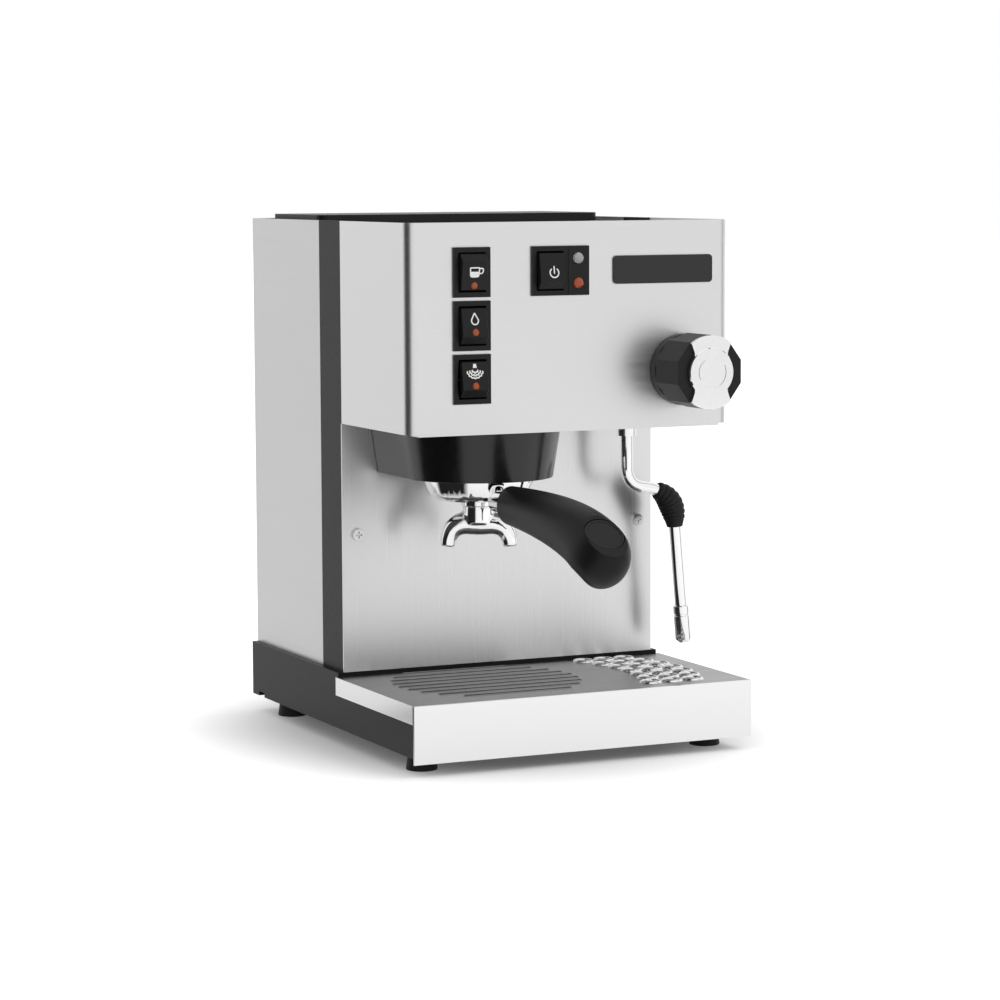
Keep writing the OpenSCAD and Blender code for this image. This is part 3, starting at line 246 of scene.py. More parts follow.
def scaled_place(tree, scale):
    """Object coordinates scaled along X, Y and Z."""
    coordinates = tree.nodes.new("ShaderNodeTexCoord")
    stretch = tree.nodes.new("ShaderNodeMapping")
    stretch.inputs["Scale"].default_value = scale
    tree.links.new(coordinates.outputs["Object"], stretch.inputs["Vector"])
    return stretch.outputs["Vector"]


# ---- Finishes ----


def principled(name, base, **sockets):
    """New material, with its plain values set on the shader's own sockets, and its shader."""
    material = bpy.data.materials.new(name)
    material.use_nodes = True
    shader = material.node_tree.nodes["Principled BSDF"]
    shader.inputs["Base Color"].default_value = (*base, 1.0)
    for socket, value in sockets.items():
        shader.inputs[socket.replace("_", " ")].default_value = value
    return material, shader


def add_grain(material, shader, per_metre, shade=0.06, rough=(0.3, 0.4), bump=0.02, detail=4.0):
    """Grain in colour, roughness and relief; per_metre is its count along X, Y and Z."""
    tree = material.node_tree
    nodes, links = tree.nodes, tree.links
    noise = nodes.new("ShaderNodeTexNoise")
    noise.inputs["Scale"].default_value = 1.0
    noise.inputs["Detail"].default_value = detail
    links.new(scaled_place(tree, per_metre), noise.inputs["Vector"])
    links.new(range_node(tree, noise.outputs["Fac"], (0.25, 0.75), rough), shader.inputs["Roughness"])
    base = shader.inputs["Base Color"].default_value[:3]
    tint = nodes.new("ShaderNodeMix")
    tint.data_type = "RGBA"
    tint.inputs[6].default_value = (*[c * (1 - shade) for c in base], 1.0)
    tint.inputs[7].default_value = (*[min(1.0, c * (1 + shade)) for c in base], 1.0)
    links.new(noise.outputs["Fac"], tint.inputs["Factor"])
    links.new(tint.outputs[2], shader.inputs["Base Color"])
    relief = nodes.new("ShaderNodeBump")
    relief.inputs["Strength"].default_value = bump
    relief.inputs["Distance"].default_value = 0.1 * MM
    links.new(noise.outputs["Fac"], relief.inputs["Height"])
    links.new(relief.outputs["Normal"], shader.inputs["Normal"])
    return material


def brushed(name, base, per_metre, rough=(0.26, 0.38), shade=0.03, drawn=0.0, bump=0.05):
    """Brushed stainless with fine lines; drawn spreads its reflections along U of the piece's brush map."""
    material, shader = principled(name, base, Metallic=1.0, Anisotropic=drawn)
    if drawn:
        tangent = material.node_tree.nodes.new("ShaderNodeTangent")
        tangent.direction_type = "UV_MAP"
        tangent.uv_map = "brush"
        material.node_tree.links.new(tangent.outputs["Tangent"], shader.inputs["Tangent"])
    return add_grain(material, shader, per_metre, shade, rough, bump)


def polished(name, base, rough=(0.03, 0.08), shade=0.02):
    """Polished or plated metal with a faint unevenness."""
    material, shader = principled(name, base, Metallic=1.0)
    return add_grain(material, shader, (90, 90, 90), shade, rough, bump=0.01, detail=2.0)


def moulded(name, base, rough=(0.36, 0.46), specular=0.4, bump=0.12, per_metre=(2200, 2200, 2200)):
    """Moulded plastic or rubber with a fine eroded texture."""
    material, shader = principled(name, base, Specular_IOR_Level=specular)
    return add_grain(material, shader, per_metre, 0.12, rough, bump, detail=2.0)


def clear_moulded(name, base, rough=0.05, body=0.0):
    """Clear or tinted moulded plastic."""
    material, shader = principled(name, base, Transmission_Weight=1.0 - body, IOR=1.49)
    return add_grain(material, shader, (120, 120, 120), 0.04, (rough, rough + 0.04), 0.02, detail=1.0)


def make_finishes(look):
    """All materials by name."""
    along_x, along_y, up = (14, 500, 1500), (500, 14, 1500), (1500, 500, 10)
    even, fine = (160, 160, 160), (900, 900, 900)
    return {
        "front": brushed("brushed_front", look.front, along_x, rough=(0.30, 0.40)),
        "side": brushed("brushed_side", look.side, along_y, rough=(0.30, 0.42)),
        "splash": brushed("brushed_backsplash", look.splash, up, (0.27, 0.29), 0.01, drawn=0.6, bump=0.0005),
        "plate": brushed("polished_plate", look.plate, along_x, rough=(0.14, 0.24)),
        "grid": brushed("brushed_grid", look.grid, (14, 900, 900), rough=(0.26, 0.4), shade=0.05),
        # The hole rims take the bright plate steel rather than the grid's: a painted highlight on the raised rims.
        "rim": polished("bright_rim", look.plate, rough=(0.14, 0.22)),
        "chrome": polished("bright_chrome", look.chrome),
        "basket": polished("bright_stainless", look.side, rough=(0.14, 0.24)),
        "zinc": polished("zinc_plate", look.zinc, rough=(0.2, 0.34), shade=0.08),
        "black": moulded("satin_black_plastic", look.black, specular=0.25),
        "gloss": moulded("gloss_black_plastic", look.black, (0.16, 0.24), 0.5, bump=0.03, per_metre=even),
        "handle": moulded("handle_plastic", look.black, rough=(0.4, 0.48), specular=0.2, bump=0.08),
        "paint": moulded("satin_black_paint", look.paint, (0.34, 0.44), 0.14, bump=0.06, per_metre=fine),
        "rubber": moulded("matt_rubber", look.rubber, rough=(0.55, 0.7), specular=0.3, bump=0.2),
        "amber": clear_moulded("amber_lens", look.amber, body=0.55),
        "clear": clear_moulded("clear_lens", look.clear, body=0.35),
        "icon": moulded("white_print", look.icon, rough=(0.5, 0.6), bump=0.02),
        "brass": polished("bare_brass", look.brass, rough=(0.22, 0.36), shade=0.08),
        "copper": polished("drawn_copper", look.copper, rough=(0.18, 0.3), shade=0.08),
        "tank": clear_moulded("clear_tank", look.tank),
        "hose": clear_moulded("milky_hose", look.hose, rough=0.3, body=0.5),
    }


FINISHES = {}


# ---- Mesh tools ----


def freeze(obj):
    """Turns an object with modifiers into a plain mesh."""
    evaluated = obj.evaluated_get(bpy.context.evaluated_depsgraph_get())
    mesh = bpy.data.meshes.new_from_object(evaluated)
    obj.modifiers.clear()
    obj.data = mesh
    mesh.name = obj.name
    return obj


def add_object(name, mesh):
    """Links a mesh to the scene under a name; a bmesh first gets its faces turned outwards."""
    if isinstance(mesh, bmesh.types.BMesh):
        bm, mesh = mesh, bpy.data.meshes.new(name)
        bmesh.ops.recalc_face_normals(bm, faces=bm.faces)
        bm.to_mesh(mesh)
        bm.free()
    obj = bpy.data.objects.new(name, mesh)
    bpy.context.scene.collection.objects.link(obj)
    return obj


def round_edges(obj, radius, segments=3, limit=35):
    """Rounds the sharp edges of an object by a radius in millimetres."""
    bevel = obj.modifiers.new("edges", "BEVEL")
    bevel.width = radius * MM
    bevel.segments = segments
    bevel.limit_method = "ANGLE"
    bevel.angle_limit = math.radians(limit)
    bevel.miter_outer = "MITER_ARC"
    bevel.use_clamp_overlap = True
    return freeze(obj)


def settle(obj, finish, body, replaces=(), smooth=40):
    """Gives a finished piece its material, shading, body and the nodes that it stands for."""
    obj.data.materials.clear()
    obj.data.materials.append(FINISHES[finish])
    obj.data.shade_smooth()
    obj.data.set_sharp_from_angle(angle=math.radians(smooth))
    even = obj.modifiers.new("even_faces", "WEIGHTED_NORMAL")
    even.keep_sharp = True
    freeze(obj)
    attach(obj, body)
    if replaces:
        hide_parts(*replaces)
    return obj


def bench_copy(node, name):
    """Clean copy of a construction piece: its triangles joined and its flat faces merged."""
    bm = bmesh.new()
    bm.from_mesh(frame["nodes"][node].data)
    bmesh.ops.remove_doubles(bm, verts=bm.verts, dist=0.002 * MM)
    bmesh.ops.dissolve_limit(bm, angle_limit=math.radians(0.6), verts=bm.verts, edges=bm.edges)
    mesh = bpy.data.meshes.new(name)
    bm.to_mesh(mesh)
    bm.free()
    return add_object(name, mesh)


def dress(node, finish, edge, segments=2):
    """Stands a copy with rounded edges in for a construction piece."""
    obj = round_edges(bench_copy(node, node + "_finished"), edge, segments)
    return settle(obj, finish, BODY_OF[node], (node,))


def paint(node, finish):
    """Gives a construction piece that stays as it is its finish."""
    obj = frame["nodes"][node]
    obj.data.materials.clear()
    obj.data.materials.append(FINISHES[finish])


def second_finish(obj, finish, chosen):
    """Gives the faces that a test picks a second finish."""
    obj.data.materials.append(FINISHES[finish])
    for face in obj.data.polygons:
        if chosen(face):
            face.material_index = 1


def brush_map(obj):
    """UV map of a sheet that faces forwards: U runs up it and V across it."""
    layer = obj.data.uv_layers.new(name="brush")
    for loop in obj.data.loops:
        corner = obj.data.vertices[loop.vertex_index].co
        layer.data[loop.index].uv = (corner.z, corner.x)


def fillet(corners, closed=False, steps=6):
    """Outline through corners (x, y, radius), each rounded by an arc of its radius."""
    outline = []
    count = len(corners)
    for i, (x, y, radius) in enumerate(corners):
        here = Vector((x, y))
        if radius <= 0 or (not closed and i in (0, count - 1)):
            outline.append(here)
            continue
        before = Vector(corners[i - 1][:2]) - here
        after = Vector(corners[(i + 1) % count][:2]) - here
        half = before.angle(after) / 2
        reach = min(radius / math.tan(half), 0.49 * before.length, 0.49 * after.length)
        arc = reach * math.tan(half)
        centre = here + (before.normalized() + after.normalized()).normalized() * (arc / math.sin(half))
        start = here + before.normalized() * reach - centre
        end = here + after.normalized() * reach - centre
        first = math.atan2(start.y, start.x)
        swing = (math.atan2(end.y, end.x) - first + math.pi) % math.tau - math.pi
        for k in range(steps + 1):
            turn = first + swing * k / steps
            outline.append(centre + arc * Vector((math.cos(turn), math.sin(turn))))
    return outline


def place(at=(0, 0, 0), turn=(0, 0, 0)):
    """Matrix that turns about X, then Y, then Z, and then moves to a place in millimetres."""
    move = Matrix.Translation(Vector(at) * MM)
    about = [Matrix.Rotation(by, 4, axis) for by, axis in zip(turn, "XYZ")]
    return move @ about[2] @ about[1] @ about[0]


def lathe(profile, matrix, steps=96, ring=False):
    """Mesh turned about the local Z axis from a profile of (radius, height); a ring's profile is closed."""
    bm = bmesh.new()
    turns = [math.tau * k / steps for k in range(steps)]
    rows = []
    for radius, height in profile:
        around = [(radius * math.cos(t) * MM, radius * math.sin(t) * MM, height * MM) for t in turns]
        rows.append([bm.verts.new(point) for point in (around if radius > 0 else [(0, 0, height * MM)])])
    pairs = list(zip(rows, rows[1:]))
    if ring:
        pairs.append((rows[-1], rows[0]))
    for low, high in pairs:
        for k in range(steps):
            j = (k + 1) % steps
            corners = [low[k % len(low)], low[j % len(low)], high[j % len(high)], high[k % len(high)]]
            unique = list(dict.fromkeys(corners))
            if len(unique) > 2:
                bm.faces.new(unique)
    bm.transform(matrix)
    return bm


def slab(outline, depth, matrix):
    """Mesh of a flat outline in the local XY plane, extruded along local Z; all in millimetres."""
    bm = bmesh.new()
    face = bm.faces.new([bm.verts.new((x * MM, y * MM, 0)) for x, y in outline])
    extruded = bmesh.ops.extrude_face_region(bm, geom=[face])["geom"]
    top = [part for part in extruded if isinstance(part, bmesh.types.BMVert)]
    bmesh.ops.translate(bm, vec=(0, 0, depth * MM), verts=top)
    bm.transform(matrix)
    return bm


def merge(parts):
    """One bmesh from several."""
    whole = bmesh.new()
    for part in parts:
        bmesh.ops.recalc_face_normals(part, faces=part.faces)
        mesh = bpy.data.meshes.new("part")
        part.to_mesh(mesh)
        part.free()
        whole.from_mesh(mesh)
        bpy.data.meshes.remove(mesh)
    return whole


def rounded_route(corners, reaches, steps=8):
    """Points through corners in millimetres, each corner rounded over its own reach."""
    points = [Vector(corners[0])]
    for a, b, c, reach in zip(corners, corners[1:], corners[2:], reaches):
        a, b, c = Vector(a), Vector(b), Vector(c)
        p = b + (a - b).normalized() * reach
        q = b + (c - b).normalized() * reach
        for k in range(steps + 1):
            t = k / steps
            points.append((1 - t) ** 2 * p + 2 * t * (1 - t) * b + t ** 2 * q)
    return points + [Vector(corners[-1])]


def loft(points, widths, heights, side, sides=32, leads=None):
    """Closed mesh swept along points; each section is an ellipse square to its lead, or to the line."""
    bm = bmesh.new()
    rows = []
    side = Vector(side)
    leads = leads or [(b - a).normalized() for a, b in zip(points[:1] + points, points[1:] + points[-1:])]
    for i, (point, ahead) in enumerate(zip(points, leads)):
        side = (side - ahead * side.dot(ahead)).normalized()
        up = ahead.cross(side)
        row = []
        for k in range(sides):
            across = math.cos(math.tau * k / sides) * widths[i] / 2
            along = math.sin(math.tau * k / sides) * heights[i] / 2
            row.append(bm.verts.new((point + side * across + up * along) * MM))
        rows.append(row)
    for low, high in zip(rows, rows[1:]):
        for k in range(sides):
            bm.faces.new([low[k], low[(k + 1) % sides], high[(k + 1) % sides], high[k]])
    bm.faces.new(rows[0])
    bm.faces.new(list(reversed(rows[-1])))
    return bm


def cut_out(obj, tools):
    """Cuts tool meshes out of an object."""
    cutters = [add_object("cutter", tool) for tool in tools]
    for cutter in cutters:
        boolean = obj.modifiers.new("cut", "BOOLEAN")
        boolean.operation = "DIFFERENCE"
        boolean.solver = "EXACT"
        boolean.object = cutter
    freeze(obj)
    for cutter in cutters:
        bpy.data.objects.remove(cutter)
    return obj


# ---- Geometry Nodes ----


def new_tree(name, inputs):
    """Empty geometry tree with a geometry input, named inputs and a geometry output."""
    tree = bpy.data.node_groups.new(name, "GeometryNodeTree")
    tree.interface.new_socket("Geometry", in_out="INPUT", socket_type="NodeSocketGeometry")
    for label, kind, value in inputs:
        socket = tree.interface.new_socket(label, in_out="INPUT", socket_type="NodeSocket" + kind)
        if value is not None:
            socket.default_value = value
    tree.interface.new_socket("Geometry", in_out="OUTPUT", socket_type="NodeSocketGeometry")
    return tree, tree.nodes.new("NodeGroupInput"), tree.nodes.new("NodeGroupOutput")


def end_tree(tree, start, end, socket):
    """Ends a tree in Realize Instances and Set Material."""
    real = tree.nodes.new("GeometryNodeRealizeInstances")
    dye = tree.nodes.new("GeometryNodeSetMaterial")
    tree.links.new(socket, real.inputs["Geometry"])
    tree.links.new(real.outputs["Geometry"], dye.inputs["Geometry"])
    tree.links.new(start.outputs["Material"], dye.inputs["Material"])
    tree.links.new(dye.outputs["Geometry"], end.inputs["Geometry"])
    return tree


def bead_tree():
    """Round bead along every outline of a mesh of edges."""
    tree, start, end = new_tree("bead_along_outline", [
        ("Bead radius", "Float", 0.7 * MM), ("Material", "Material", None)])
    line = tree.nodes.new("GeometryNodeMeshToCurve")
    section = tree.nodes.new("GeometryNodeCurvePrimitiveCircle")
    section.inputs["Resolution"].default_value = 8
    tube = tree.nodes.new("GeometryNodeCurveToMesh")
    tube.inputs["Fill Caps"].default_value = True
    tree.links.new(start.outputs["Geometry"], line.inputs["Mesh"])
    tree.links.new(start.outputs["Bead radius"], section.inputs["Radius"])
    tree.links.new(line.outputs["Curve"], tube.inputs["Curve"])
    tree.links.new(section.outputs["Curve"], tube.inputs["Profile Curve"])
    return end_tree(tree, start, end, tube.outputs["Mesh"])


def repeat_tree():
    """Copies of one piece at every point of a mesh."""
    tree, start, end = new_tree("copies_at_points", [
        ("Piece", "Object", None), ("Material", "Material", None)])
    piece = tree.nodes.new("GeometryNodeObjectInfo")
    copies = tree.nodes.new("GeometryNodeInstanceOnPoints")
    tree.links.new(start.outputs["Piece"], piece.inputs["Object"])
    tree.links.new(start.outputs["Geometry"], copies.inputs["Points"])
    tree.links.new(piece.outputs["Geometry"], copies.inputs["Instance"])
    return end_tree(tree, start, end, copies.outputs["Instances"])


def ribbed_tree():
    """Ribbed sleeve along a line: a swelling girth with evenly spaced ribs and a plain collar at its end."""
    tree, start, end = new_tree("ribbed_sleeve", [
        ("End radius", "Float", 5.6 * MM), ("Full radius", "Float", 8 * MM),
        ("Rib height", "Float", 0.7 * MM), ("Ribs", "Int", 8), ("Rings", "Int", 160),
        ("Collar", "Float", 0.86), ("Material", "Material", None)])
    line = tree.nodes.new("GeometryNodeMeshToCurve")
    even = tree.nodes.new("GeometryNodeResampleCurve")
    along = tree.nodes.new("GeometryNodeSplineParameter")
    section = tree.nodes.new("GeometryNodeCurvePrimitiveCircle")
    section.inputs["Resolution"].default_value = 40
    section.inputs["Radius"].default_value = 1.0
    tube = tree.nodes.new("GeometryNodeCurveToMesh")
    tube.inputs["Fill Caps"].default_value = True
    t = along.outputs["Factor"]
    swell = math_node(tree, "SINE", math_node(tree, "MULTIPLY", t, math.pi))
    room = math_node(tree, "SUBTRACT", start.outputs["Full radius"], start.outputs["End radius"])
    girth = math_node(tree, "ADD", start.outputs["End radius"], math_node(tree, "MULTIPLY", room, swell))
    share = math_node(tree, "DIVIDE", t, start.outputs["Collar"])
    phase = math_node(tree, "MULTIPLY", share, start.outputs["Ribs"])
    wave = math_node(tree, "ABSOLUTE", math_node(tree, "SINE", math_node(tree, "MULTIPLY", phase, math.pi)))
    ridge = math_node(tree, "SUBTRACT", math_node(tree, "POWER", wave, 0.6), 0.5)
    ribbed = math_node(tree, "LESS_THAN", t, start.outputs["Collar"])
    ridges = math_node(tree, "MULTIPLY", ridge, ribbed)
    relief = math_node(tree, "MULTIPLY", ridges, start.outputs["Rib height"])
    tree.links.new(start.outputs["Geometry"], line.inputs["Mesh"])
    tree.links.new(line.outputs["Curve"], even.inputs["Curve"])
    tree.links.new(start.outputs["Rings"], even.inputs["Count"])
    tree.links.new(even.outputs["Curve"], tube.inputs["Curve"])
    tree.links.new(section.outputs["Curve"], tube.inputs["Profile Curve"])
    tree.links.new(math_node(tree, "ADD", girth, relief), tube.inputs["Scale"])
    return end_tree(tree, start, end, tube.outputs["Mesh"])


def run_tree(obj, tree, **values):
    """Runs a tree on an object with its named inputs set, and keeps the result as a plain mesh."""
    modifier = obj.modifiers.new(tree.name, "NODES")
    modifier.node_group = tree
    for item in tree.interface.items_tree:
        key = item.name.lower().replace(" ", "_")
        if item.in_out == "INPUT" and key in values:
            modifier[item.identifier] = values[key]
    return freeze(obj)


def line_object(name, outlines, closed=False):
    """Mesh of edges only, along outlines given in millimetres."""
    bm = bmesh.new()
    for outline in outlines:
        verts = [bm.verts.new(Vector(p) * MM) for p in outline]
        for a, b in zip(verts, verts[1:]):
            bm.edges.new((a, b))
        if closed:
            bm.edges.new((verts[-1], verts[0]))
    mesh = bpy.data.meshes.new(name)
    bm.to_mesh(mesh)
    bm.free()
    return add_object(name, mesh)


def copies(name, pattern, points, finish):
    """Copies of a pattern mesh at points in millimetres, joined into one object."""
    piece = add_object("pattern", pattern)
    obj = line_object(name, [[p] for p in points])
    run_tree(obj, repeat_tree(), piece=piece, material=FINISHES[finish])
    bpy.data.objects.remove(piece)
    return obj


# ---- Operators ----


class ESPRESSO_OT_finishes(bpy.types.Operator):
    """Makes the materials of the machine"""

    bl_idname = "espresso.finishes"
    bl_label = "Finishes"

    def execute(self, context):
        FINISHES.update(make_finishes(context.scene.espresso_finishes))
        return {"FINISHED"}


class ESPRESSO_OT_casing(bpy.types.Operator):
    """Finishes the steel casing, the black base and stripes, and the top"""

    bl_idname = "espresso.casing"
    bl_label = "Casing"

    def execute(self, context):
        sizes = context.scene.espresso_casing
        for node, finish, edge in (
            ("head_cover", "front", sizes.sheet_edge),
            ("side_panel_left", "side", sizes.sheet_edge),
            ("side_panel_right", "side", sizes.sheet_edge),
            ("cup_tray", "side", sizes.sheet_edge),
            ("upright_frame", "paint", sizes.sheet_edge),
            ("base_frame", "paint", sizes.sheet_edge),
            ("tank_lid", "black", sizes.lid_edge),
            ("cable_gland", "black", sizes.sheet_edge),
        ):
            dress(node, finish, edge)
        brush_map(dress("backsplash", "splash", sizes.sheet_edge))
        paint("back_panel", "side")
        return {"FINISHED"}


class ESPRESSO_OT_drip_tray(bpy.types.Operator):
    """Makes the tray's front plate, its tub and the grid with rolled slots and raised holes"""

    bl_idname = "espresso.drip_tray"
    bl_label = "Drip tray"

    def execute(self, context):
        sizes = context.scene.espresso_casing
        dress("tray_front", "plate", 0.15)
        dress("drip_tub", "black", sizes.tub_edge)
        low, high = span("drip_grid")
        grid = dress("drip_grid", "grid", 0.2)
        # The grid's two end faces take the bright plate steel instead of the grid's: a painted highlight along its
        # ends.
        painted_highlight_end_x = high.x * MM - 0.4 * MM
        second_finish(grid, "plate", lambda face: abs(face.normal.x) > 0.7 and abs(face.center.x) > painted_highlight_end_x)
        beads = line_object("grid_slot_beads", self.slots(sizes, low, high), closed=True)
        run_tree(beads, bead_tree(), bead_radius=sizes.slot_bead * MM, material=FINISHES["grid"])
        settle(beads, "grid", BODY_OF["drip_grid"], smooth=60)
        rise, rim, r = sizes.hole_rise, sizes.hole_rim, sizes.hole_r
        profile = [(r - 0.1, -0.8), (r - 0.1, 0.55 * rise), (r + 0.12 * rim, 0.85 * rise),
                   (r + 0.36 * rim, rise), (r + 0.64 * rim, 0.8 * rise), (r + 0.86 * rim, 0.3 * rise),
                   (r + rim, -0.1)]
        hump = lathe(profile, Matrix(), 28, ring=True)
        # The rims are part of the grid's own sheet but get the bright rim steel, a painted highlight.
        rims = copies("grid_hole_rims", hump, self.holes(sizes, low, high), "rim")
        settle(rims, "rim", BODY_OF["drip_grid"], smooth=60)
        return {"FINISHED"}

    def slots(self, sizes, low, high):
        """Outlines of the slots, which fill a round field left of the grid's middle and behind it."""
        field, count, half_w = sizes.slot_field, sizes.slots, sizes.slot_w / 2
        centre_x, centre_y = -36.0, (low.y + high.y) / 2 + 7.5
        margin = 0.7
        step = 2 * (field - margin) / (count + 1)
        outlines = []
        for i in range(count):
            dy = (i - (count - 1) / 2) * step
            half = math.sqrt(field ** 2 - dy ** 2)
            corners = [(centre_x + x * half, centre_y + dy + y * half_w, half_w) for x, y in
                       ((-1, -1), (1, -1), (1, 1), (-1, 1))]
            outlines.append([(p.x, p.y, high.z) for p in fillet(corners, closed=True)])
        return outlines

    def holes(self, sizes, low, high):
        """Centres of the holes, which stand in arcs that bulge towards the grid's right end."""
        arc, rows, arcs = sizes.hole_arc, sizes.hole_rows, 3
        from_end, centre_y = 21.0, (low.y + high.y) / 2 + 4
        step = 0.77 * (high.y - low.y) / (rows - 1)
        centres = []
        for i in range(rows):
            dy = (i - (rows - 1) / 2) * step
            for k in range(arcs):
                x = high.x - from_end - k * sizes.hole_pitch + math.sqrt(arc ** 2 - dy ** 2) - arc
                centres.append((x, centre_y + dy, high.z))
        return centres


class ESPRESSO_OT_feet(bpy.types.Operator):
    """Makes the four rubber feet"""

    bl_idname = "espresso.feet"
    bl_label = "Feet"

    def execute(self, context):
        dress("feet", "rubber", 0.8, 3)
        return {"FINISHED"}


class ESPRESSO_OT_group(bpy.types.Operator):
    """Makes the shroud around the group and finishes the group inside it"""

    bl_idname = "espresso.group"
    bl_label = "Group"

    def execute(self, context):
        dress("group_shroud", "gloss", 0.5, 3)
        dress("group_head", "chrome", 0.6)
        return {"FINISHED"}


def handle_line(sizes, steps):
    """Centres, widths, heights and leans of the handle's sections from its root to its tip."""
    root, z, reach = sizes.handle_root, sizes.handle_z, sizes.handle_reach
    knots = [Vector(p) for p in ((0, -root, z), (0, 64 - reach, z - 1.4), (0, 2 - reach, z - 9.4),
                                 (0, 13 - reach, z - sizes.handle_drop))]
    points = []
    for i in range(steps + 1):
        t = 1 - (1 - i / steps) ** 1.3
        weights = ((1 - t) ** 3, 3 * t * (1 - t) ** 2, 3 * t * t * (1 - t), t ** 3)
        points.append(sum((w * k for w, k in zip(weights, knots)), Vector()))
    runs = [0.0]
    for a, b in zip(points, points[1:]):
        runs.append(runs[-1] + (b - a).length)
    shares = [run / runs[-1] for run in runs]
    widths = [sizes.handle_wide * swell(s, 0.545, 0.885) for s in shares]
    heights = [sizes.handle_tall * swell(s, 0.577, 0.76) for s in shares]
    leans = [math.radians(70) * s ** 2.5 for s in shares]
    return points, widths, heights, leans


def swell(s, root, middle, cap=0.8):
    """Girth at the share s of the length: from a root share through a middle share to 1, closing round."""
    past_tip = 1.0008  # leaves the last section a little girth
    open_girth = root * (1 - s) * (1 - 2 * s) + 4 * middle * s * (1 - s) - s * (1 - 2 * s)
    return open_girth * math.sqrt(max(0.0, 1 - (max(0.0, s - cap) / (past_tip - cap)) ** 2))


class ESPRESSO_OT_portafilter(bpy.types.Operator):
    """Makes the chrome filter holder, its spout and the black handle"""

    bl_idname = "espresso.portafilter"
    bl_label = "Portafilter"

    def execute(self, context):
        sizes = context.scene.espresso_filter
        axis = pivot("portafilter_turn") / MM
        self.make_handle(sizes, axis)
        self.make_spout(sizes, axis)
        dress("portafilter_body", "chrome", 1.4, 4)
        return {"FINISHED"}

    def make_handle(self, sizes, axis):
        """Handle swept along its line, with a disc sunk into the flat face of its end."""
        points, widths, heights, leans = handle_line(sizes, 96)
        leads = [Vector((0, -math.cos(a), -math.sin(a))) for a in leans]
        stand = place((axis.x, axis.y, 0), (0, 0, sizes.handle_turn))
        bm = loft(points, widths, heights, (1, 0, 0), 72, leads)
        bm.transform(stand)
        obj = add_object("handle_grip", bm)
        face_lean, face_out, face_cut = math.radians(39.0), 4.5, 3.8
        station = min(range(len(points)), key=lambda i: abs(leans[i] - face_lean))
        middle = place((0, -face_out, heights[station] / 2 - face_cut))
        face = stand @ place(points[station], (leans[station], 0, 0)) @ middle
        wide = 2 * sizes.handle_tall
        cap = slab([(-wide, -wide), (wide, -wide), (wide, wide), (-wide, wide)], wide, face)
        r, deep = sizes.plug_r, 2.4
        well = lathe([(0, -deep), (r + 0.2, -deep), (r + 0.2, 2), (0, 2)], face, 64)
        cut_out(obj, [cap, well])
        round_edges(obj, 0.35, 2, limit=30)
        settle(obj, "handle", "portafilter", ("portafilter_handle",), smooth=32)
        profile = [(0, -deep), (r, -deep), (r, -0.6), (r - 0.4, -0.2), (r - 1.5, -0.2), (r - 1.9, -0.6),
                   (0, -0.6)]
        disc = lathe(profile, face, 64)
        settle(add_object("handle_disc", disc), "black", "portafilter", ("handle_plug",))

    def make_spout(self, sizes, axis):
        """Spout whose stem splits into two arms, with the skin blended where they meet."""
        low, high = span("double_spout")
        tip, arch, stem_r = 9.4, 16.0, 10
        middle = low.z + arch - 1
        parts = [lathe([(0, high.z), (stem_r, high.z), (stem_r, middle), (0, middle)], Matrix(), 48)]
        for s in (-1, 1):
            shoulder = (s * (sizes.spout_half - 1.5), 0, middle)
            corners = [(0, 0, middle), shoulder, (s * sizes.spout_half, 0, low.z)]
            arm = rounded_route(corners, (13,), 10)
            girth = [arch + (tip - arch) * i / (len(arm) - 1) for i in range(len(arm))]
            parts.append(loft(arm, girth, girth, (0, 1, 0), 32))
        bm = merge(parts)
        bm.transform(place((axis.x, axis.y, 0), (0, 0, sizes.spout_turn)))
        obj = add_object("spout", bm)
        remesh = obj.modifiers.new("skin", "REMESH")
        remesh.mode = "VOXEL"
        remesh.voxel_size = 0.6 * MM
        smooth = obj.modifiers.new("blend", "SMOOTH")
        smooth.iterations = 14
        smooth.factor = 0.6
        freeze(obj)
        settle(obj, "chrome", "portafilter", ("double_spout",), smooth=80)


class ESPRESSO_OT_knob(bpy.types.Operator):
    """Makes the steam knob with its chrome face"""

    bl_idname = "espresso.knob"
    bl_label = "Steam knob"

    def execute(self, context):
        sizes = context.scene.espresso_controls
        dress("knob_body", "black", 0.7, 3)
        dress("knob_face", "chrome", 0.5, 3)
        low, high = span("knob_face")
        r = sizes.disc_r
        front = place(((low.x + high.x) / 2, low.y, (low.z + high.z) / 2), (math.pi / 2, 0, 0))
        ring = 0.62 * r
        rise, groove = 0.7, 0.4
        profile = [(0, -1), (r + 0.2, -1), (r + 0.2, 0.2), (r - 0.3, rise), (ring + 0.5, rise),
                   (ring + 0.25, groove), (ring - 0.25, groove), (ring - 0.5, rise), (0, rise)]
        disc = lathe(profile, front, 96)
        settle(add_object("knob_disc", disc), "chrome", BODY_OF["knob_face"])
        return {"FINISHED"}


